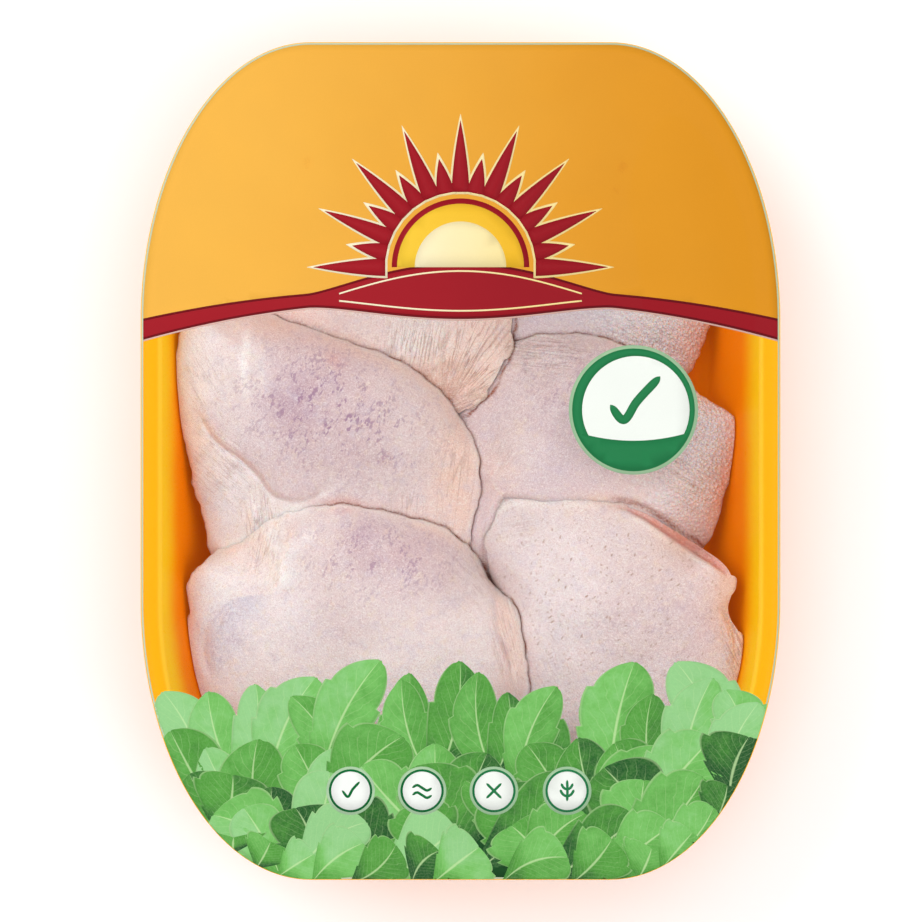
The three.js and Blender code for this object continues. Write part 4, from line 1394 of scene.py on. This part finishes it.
def paint(form, x, y, nearest, seamShade, inward):
    # the skin's colours and masks, from the thigh's own lists, the nearest edge on it and its own edge
    colour = np.tile(np.array(skinTones[form["base"]][:3]), (len(x), 1))

    def lay(tone, amount):
        colour[:] = colour + (np.array(skinTones[tone][:3]) - colour) * np.clip(amount, 0, 1)[:, None]

    def patch(place, reachX, reachY):
        return np.exp(-((x - place[0]) / reachX) ** 2 - ((y - place[1]) / reachY) ** 2)

    uneven = 1 + 0.35 * softNoise(x, y, 6, 11)
    for tone, place, reachX, reachY, strength in form["tones"]:
        lay(tone, strength * patch(place, reachX, reachY) * uneven)
    for tone, line, half, strength in form["streaks"]:
        gap, _, along = distanceTo(smoothCurve(line, 1.5), x, y)
        lay(tone, strength * fadeEnds(along) * np.exp(-(gap / half) ** 2) * uneven)
    for tone, line, reach, strength in form["sides"]:
        # a tone on the left of a line, or with a negative reach on its right
        gap, side, along = distanceTo(smoothCurve(line, 1.5), x, y)
        beside = np.clip(side * gap * np.sign(reach) / 0.5 + 0.5, 0, 1)
        lay(tone, strength * fadeEnds(along, 8) * beside * np.exp(-(gap / abs(reach)) ** 2))
    # a lighter band along its own edge: partly the skin's own colour, partly painted light that offsets the
    # shade on the steep edge
    lay(form["rim"][0], form["rim"][1] * np.exp(-(inward / skinForm["rimReach"]) ** 2) * uneven)
    # a warm tint beside the edges of the thighs on top; painted shade: brown along the seams there, and a thin
    # brown line along its own edge
    lay("blush", 0.25 * np.exp(-(nearest / 4) ** 2))
    lay("creaseShade", seamShade * (0.85 + 0.6 * softNoise(x, y, 4, 12)))
    lay("creaseShade", 0.6 * seamStrength(form, x, y) * np.exp(-(inward / 0.3) ** 2))
    lay("white", veil(form, x, y))
    masks = {}
    for kind in ("mottles", "pores", "bumps"):
        amounts = [s * patch(place, reachX, reachY) for place, reachX, reachY, s in form[kind]]
        masks["skin" + kind.capitalize()] = sum(amounts, np.zeros(len(x)))
    flow, strongest = np.zeros((len(x), 3)), np.zeros(len(x))
    for place, reachX, reachY, turn, spacing, strength in form["wrinkles"]:
        here = strength * patch(place, reachX, reachY)
        if isinstance(turn, list):
            # a fan of wrinkles from a point
            away = np.hypot(x - turn[0], y - turn[1])
            across = np.arctan2(y - turn[1], x - turn[0]) * 16 / spacing
            along = away / spacing
        else:
            sine, cosine = math.sin(math.radians(turn)), math.cos(math.radians(turn))
            across = (-x * sine + y * cosine) / spacing
            along = (x * cosine + y * sine) / spacing
        flow = np.where((here > strongest)[:, None], np.column_stack([across, along * 0.06, here]), flow)
        strongest = np.maximum(strongest, here)
    return {"skinTone": colour, "skinFlow": flow, **masks}


def veil(form, x, y):
    # where thin skin hides the join between two thighs
    cover = np.zeros(len(x))
    for line, half, strength in form["veils"]:
        gap, _, along = distanceTo(smoothCurve(line, 1.5), x, y)
        cover = np.maximum(cover, strength * fadeEnds(along) * np.exp(-(gap / half) ** 2))
    return cover


def makeThighMesh(name, form, uppers, material):
    count, rings = skinForm["around"], skinForm["rings"]
    spoke = np.arange(count, dtype=float)

    def placed(share):
        reach = share * lengthAt(form, share, spoke)
        x = form["middle"][0] + reach * np.cos(form["angle"])
        y = form["middle"][1] + reach * np.sin(form["angle"])
        top, nearest, seamShade = pressed(form, uppers, x, y, skinHeight(form, x, y, share, spoke))
        under = np.maximum(underHeight(form, x, y, share, spoke), 2.8)
        return x, y, np.minimum(top, filmUnder(x, y) - skinForm["gap"]), under, nearest, seamShade

    # a spoke ends where the thighs on top leave no room between skin and under side
    limit = np.ones(count)
    for share in np.linspace(1, 0.2, 60):
        x, y, top, under, _, _ = placed(np.full(count, share))
        limit = np.where((top - under < 1.2) & (share < 0.985), share, limit)
    for _ in range(3):
        limit = np.minimum(limit, (np.roll(limit, 1) + 2 * limit + np.roll(limit, -1)) / 4)

    steps = ((np.arange(rings) + 1) / (rings + 1)) ** skinForm["crowding"]
    underSteps = ((np.arange(skinForm["underRings"]) + 1) / (skinForm["underRings"] + 1)) ** 1.6
    tops, unders, nears, marks, inwards = [], [], [], [], []
    for step in np.concatenate([[0], steps]):
        x, y, top, under, nearest, seamShade = placed(limit * (1 - step))
        top = np.maximum(top, under + skinForm["thin"])
        flat = clampToPack(np.column_stack([x, y]), wallInset(top) + skinForm["gap"])
        tops.append(np.column_stack([flat, top]))
        nears.append(nearest)
        marks.append(seamShade)
        inwards.append((1 - limit * (1 - step)) * form["table"][-1])
    for step in np.concatenate([[0], underSteps]):
        x, y, top, under, _, _ = placed(limit * (1 - step))
        flat = clampToPack(np.column_stack([x, y]), wallInset(under) + skinForm["gap"])
        unders.append(np.column_stack([flat, np.minimum(under, top - skinForm["thin"])]))
    ringsUp = unders[::-1] + tops
    points, faces = closedLoft(unders[-1].mean(0), ringsUp, tops[-1].mean(0))
    nearest = np.concatenate([np.full(len(unders) * count, 99.0), *nears, [99.0, 99.0]])
    seamShade = np.concatenate([np.ones(len(unders) * count), *marks, [1.0, 0.0]])
    inward = np.concatenate([np.full(len(unders) * count, 99.0), *inwards, [99.0, 99.0]])
    piece = makeObject(name, points, faces, material)
    kinds = {"skinTone": "FLOAT_COLOR", "skinFlow": "FLOAT_VECTOR"}
    for attributeName, values in paint(form, points[:, 0], points[:, 1], nearest, seamShade, inward).items():
        addAttribute(piece.data, attributeName, kinds.get(attributeName, "FLOAT"), values)
    return piece


skinMarks = {
    # the way that they slant, length, how dense
    "pores": [(34, 2.6, 0.36), (70, 2.2, 0.32), (-20, 1.3, 0.3)],
}


def slant(tree, place, degrees, stretch):
    # coordinates that draw a pattern out along a slanting line
    values = {"Vector": place, "Rotation": (0, 0, math.radians(degrees)), "Scale": (stretch, 1, 1)}
    return addNode(tree, "ShaderNodeMapping", values, vector_type="TEXTURE").outputs[0]


def flatCells(tree, place, scale):
    # how far away the nearest of many scattered points is
    values = {"Vector": place, "Scale": scale, "Randomness": 0.95}
    return addNode(tree, "ShaderNodeTexVoronoi", values, voronoi_dimensions="2D").outputs["Distance"]


def makeRawSkin():
    fixed = {
        "Subsurface Weight": 0.45, "Subsurface Radius": (1, 0.5, 0.36), "Subsurface Scale": 2.4 * mm,
        "Coat Weight": 0.4, "Coat Roughness": 0.16, "Specular IOR Level": 0.3,
    }
    material, tree, shader, place = newMaterial("rawSkin", fixed)
    tone = attribute(tree, "skinTone", "Color")
    flow = attribute(tree, "skinFlow", "Vector")
    strength = addNode(tree, "ShaderNodeSeparateXYZ", {0: flow}).outputs[2]
    flow = addNode(tree, "ShaderNodeMapping", {"Vector": flow, "Scale": (1, 1, 0)}).outputs[0]
    fine = noise(tree, place, 0.8, 4, 0.65)
    grain = noise(tree, place, 1.5, 2, 0.6)
    bluish = remap(tree, noise(tree, place, 0.22, 3, 0.6), 0.5, 0.72, 0, 0.3)
    tone = mixColour(tree, bluish, tone, rgb(208, 196, 214))
    creamy = remap(tree, noise(tree, place, 0.3, 3, 0.6), 0.46, 0.3, 0, 0.25)
    tone = mixColour(tree, creamy, tone, rgb(240, 222, 194))
    crackle = remap(tree, calc(tree, "ABSOLUTE", calc(tree, "SUBTRACT", grain, 0.5)), 0.0, 0.07)
    tone = mixColour(tree, remap(tree, fine, 0.5, 0.7, 0, 0.3), tone, rgb(252, 242, 236))
    tone = mixColour(tree, remap(tree, crackle, 0.6, 0.0, 0, 0.26), tone, rgb(186, 136, 140), "MULTIPLY")
    # painted glints at the grain's high points
    tone = mixColour(tree, remap(tree, grain, 0.58, 0.68, 0, 0.25), tone, rgb(255, 250, 246))
    speck = noise(tree, place, 2.8, 1, 0.5)
    tone = mixColour(tree, remap(tree, speck, 0.45, 0.3, 0, 0.3), tone, rgb(206, 168, 168), "MULTIPLY")
    # lighter specks, partly fine texture and partly painted glints
    tone = mixColour(tree, remap(tree, speck, 0.55, 0.68, 0, 0.35), tone, rgb(255, 252, 250))

    # violet flecks where the meat shows through, drawn out one way
    slanted = slant(tree, place, 62, 1.8)
    fleck = calc(tree, "MULTIPLY", remap(tree, noise(tree, slanted, 1.1, 2, 0.6), 0.5, 0.57),
                 remap(tree, noise(tree, slanted, 0.28, 2, 0.6), 0.46, 0.58))
    fleck = calc(tree, "MULTIPLY", fleck, attribute(tree, "skinMottles"))
    tone = mixColour(tree, calc(tree, "MULTIPLY", fleck, 0.7), tone, rgb(158, 116, 150))

    # sparse pores, as short marks that slant this way or that
    marks = [remap(tree, flatCells(tree, slant(tree, place, turn, long), scale), 0.13, 0.06)
             for turn, long, scale in skinMarks["pores"]]
    patches = noise(tree, place, 0.16, 2)
    pore = calc(tree, "MAXIMUM", calc(tree, "MULTIPLY", marks[0], remap(tree, patches, 0.42, 0.56)),
                calc(tree, "MULTIPLY", marks[1], remap(tree, patches, 0.58, 0.44)))
    pore = calc(tree, "MAXIMUM", pore, calc(tree, "MULTIPLY", marks[2], 0.6))
    pore = calc(tree, "MULTIPLY", pore, attribute(tree, "skinPores"))
    pore = calc(tree, "MULTIPLY", pore, remap(tree, noise(tree, place, 0.9, 1), 0.4, 0.6))
    tone = mixColour(tree, calc(tree, "MULTIPLY", pore, 0.7), tone, rgb(170, 130, 108))

    # goose flesh, with painted light on the bumps' tops and painted shade in the hollows between them
    cells = flatCells(tree, place, 0.8)
    bump = calc(tree, "MULTIPLY", remap(tree, cells, 0.5, 0.1), attribute(tree, "skinBumps"))
    tone = mixColour(tree, calc(tree, "MULTIPLY", bump, 0.6), tone, rgb(254, 242, 238))
    hollowShade = calc(tree, "MULTIPLY", remap(tree, cells, 0.5, 0.8), attribute(tree, "skinBumps"))
    tone = mixColour(tree, calc(tree, "MULTIPLY", hollowShade, 0.5), tone, rgb(206, 164, 160), "MULTIPLY")

    # fine wrinkles along the skin's own flow, with painted shade in their grooves and a painted highlight beside
    # them
    streaks = noise(tree, flow, 0.9, 1.5, 0.5)
    creaseShade = remap(tree, calc(tree, "ABSOLUTE", calc(tree, "SUBTRACT", streaks, 0.5)), 0.0, 0.04)
    lines = calc(tree, "MULTIPLY", calc(tree, "SUBTRACT", 1.0, creaseShade), strength)
    tone = mixColour(tree, calc(tree, "MULTIPLY", lines, 0.6), tone, rgb(158, 98, 76), "MULTIPLY")
    pale = calc(tree, "MULTIPLY", remap(tree, streaks, 0.58, 0.68), strength)
    tone = mixColour(tree, calc(tree, "MULTIPLY", pale, 0.25), tone, rgb(252, 240, 232))
    tree.links.new(tone, shader.inputs["Base Color"])
    tree.links.new(remap(tree, fine, 0.3, 0.7, 0.34, 0.5), shader.inputs["Roughness"])
    height = calc(tree, "MULTIPLY", calc(tree, "MULTIPLY", creaseShade, strength), 0.6)
    height = calc(tree, "MULTIPLY_ADD", fine, 0.6, height)
    height = calc(tree, "MULTIPLY_ADD", grain, 0.35, height)
    height = calc(tree, "MULTIPLY_ADD", bump, 1.3, height)
    addBump(tree, shader, height, 0.8, 0.55)
    return material


def makeThighs():
    material = makeRawSkin()
    forms = {name: makeForm(thigh) for name, thigh in thighs.items()}
    names = list(forms)
    for i in reversed(range(len(names))):
        # the edge of a thigh lies down on the ones below it
        form = forms[names[i]]
        spoke = np.arange(skinForm["around"], dtype=float)
        reach = form["table"][-1]
        x = form["middle"][0] + reach * np.cos(form["angle"])
        y = form["middle"][1] + reach * np.sin(form["angle"])
        ground = np.full(len(x), -99.0)
        for lower in (forms[name] for name in names[i + 1:]):
            share, at = shareAt(lower, x, y)
            skin = skinHeight(lower, x, y, np.minimum(share, 1), at) - skinForm["dip"] + skinForm["gap"]
            ground = np.where(share < 0.995, np.maximum(ground, skin), ground)
        edge = edgeHeight(form, x, y, np.ones(len(x)), spoke)
        lay = np.where(ground > -50, np.clip(ground - edge, -14, 8), 0)
        wide = np.exp(-(np.arange(-12, 13) / 4) ** 2)
        form["lay"] = np.convolve(np.tile(lay, 3), wide / wide.sum(), "same")[len(lay):2 * len(lay)]
    for i, name in enumerate(names):
        uppers = [forms[upper] for upper in names[:i]]
        piece = makeThighMesh(name.replace("thigh", "skin"), forms[name], uppers, material)
        finishPiece(piece, "raw_skin", name)
        print(piece.name, len(piece.data.polygons), "faces")


makeThighs()
print("thighs ready")
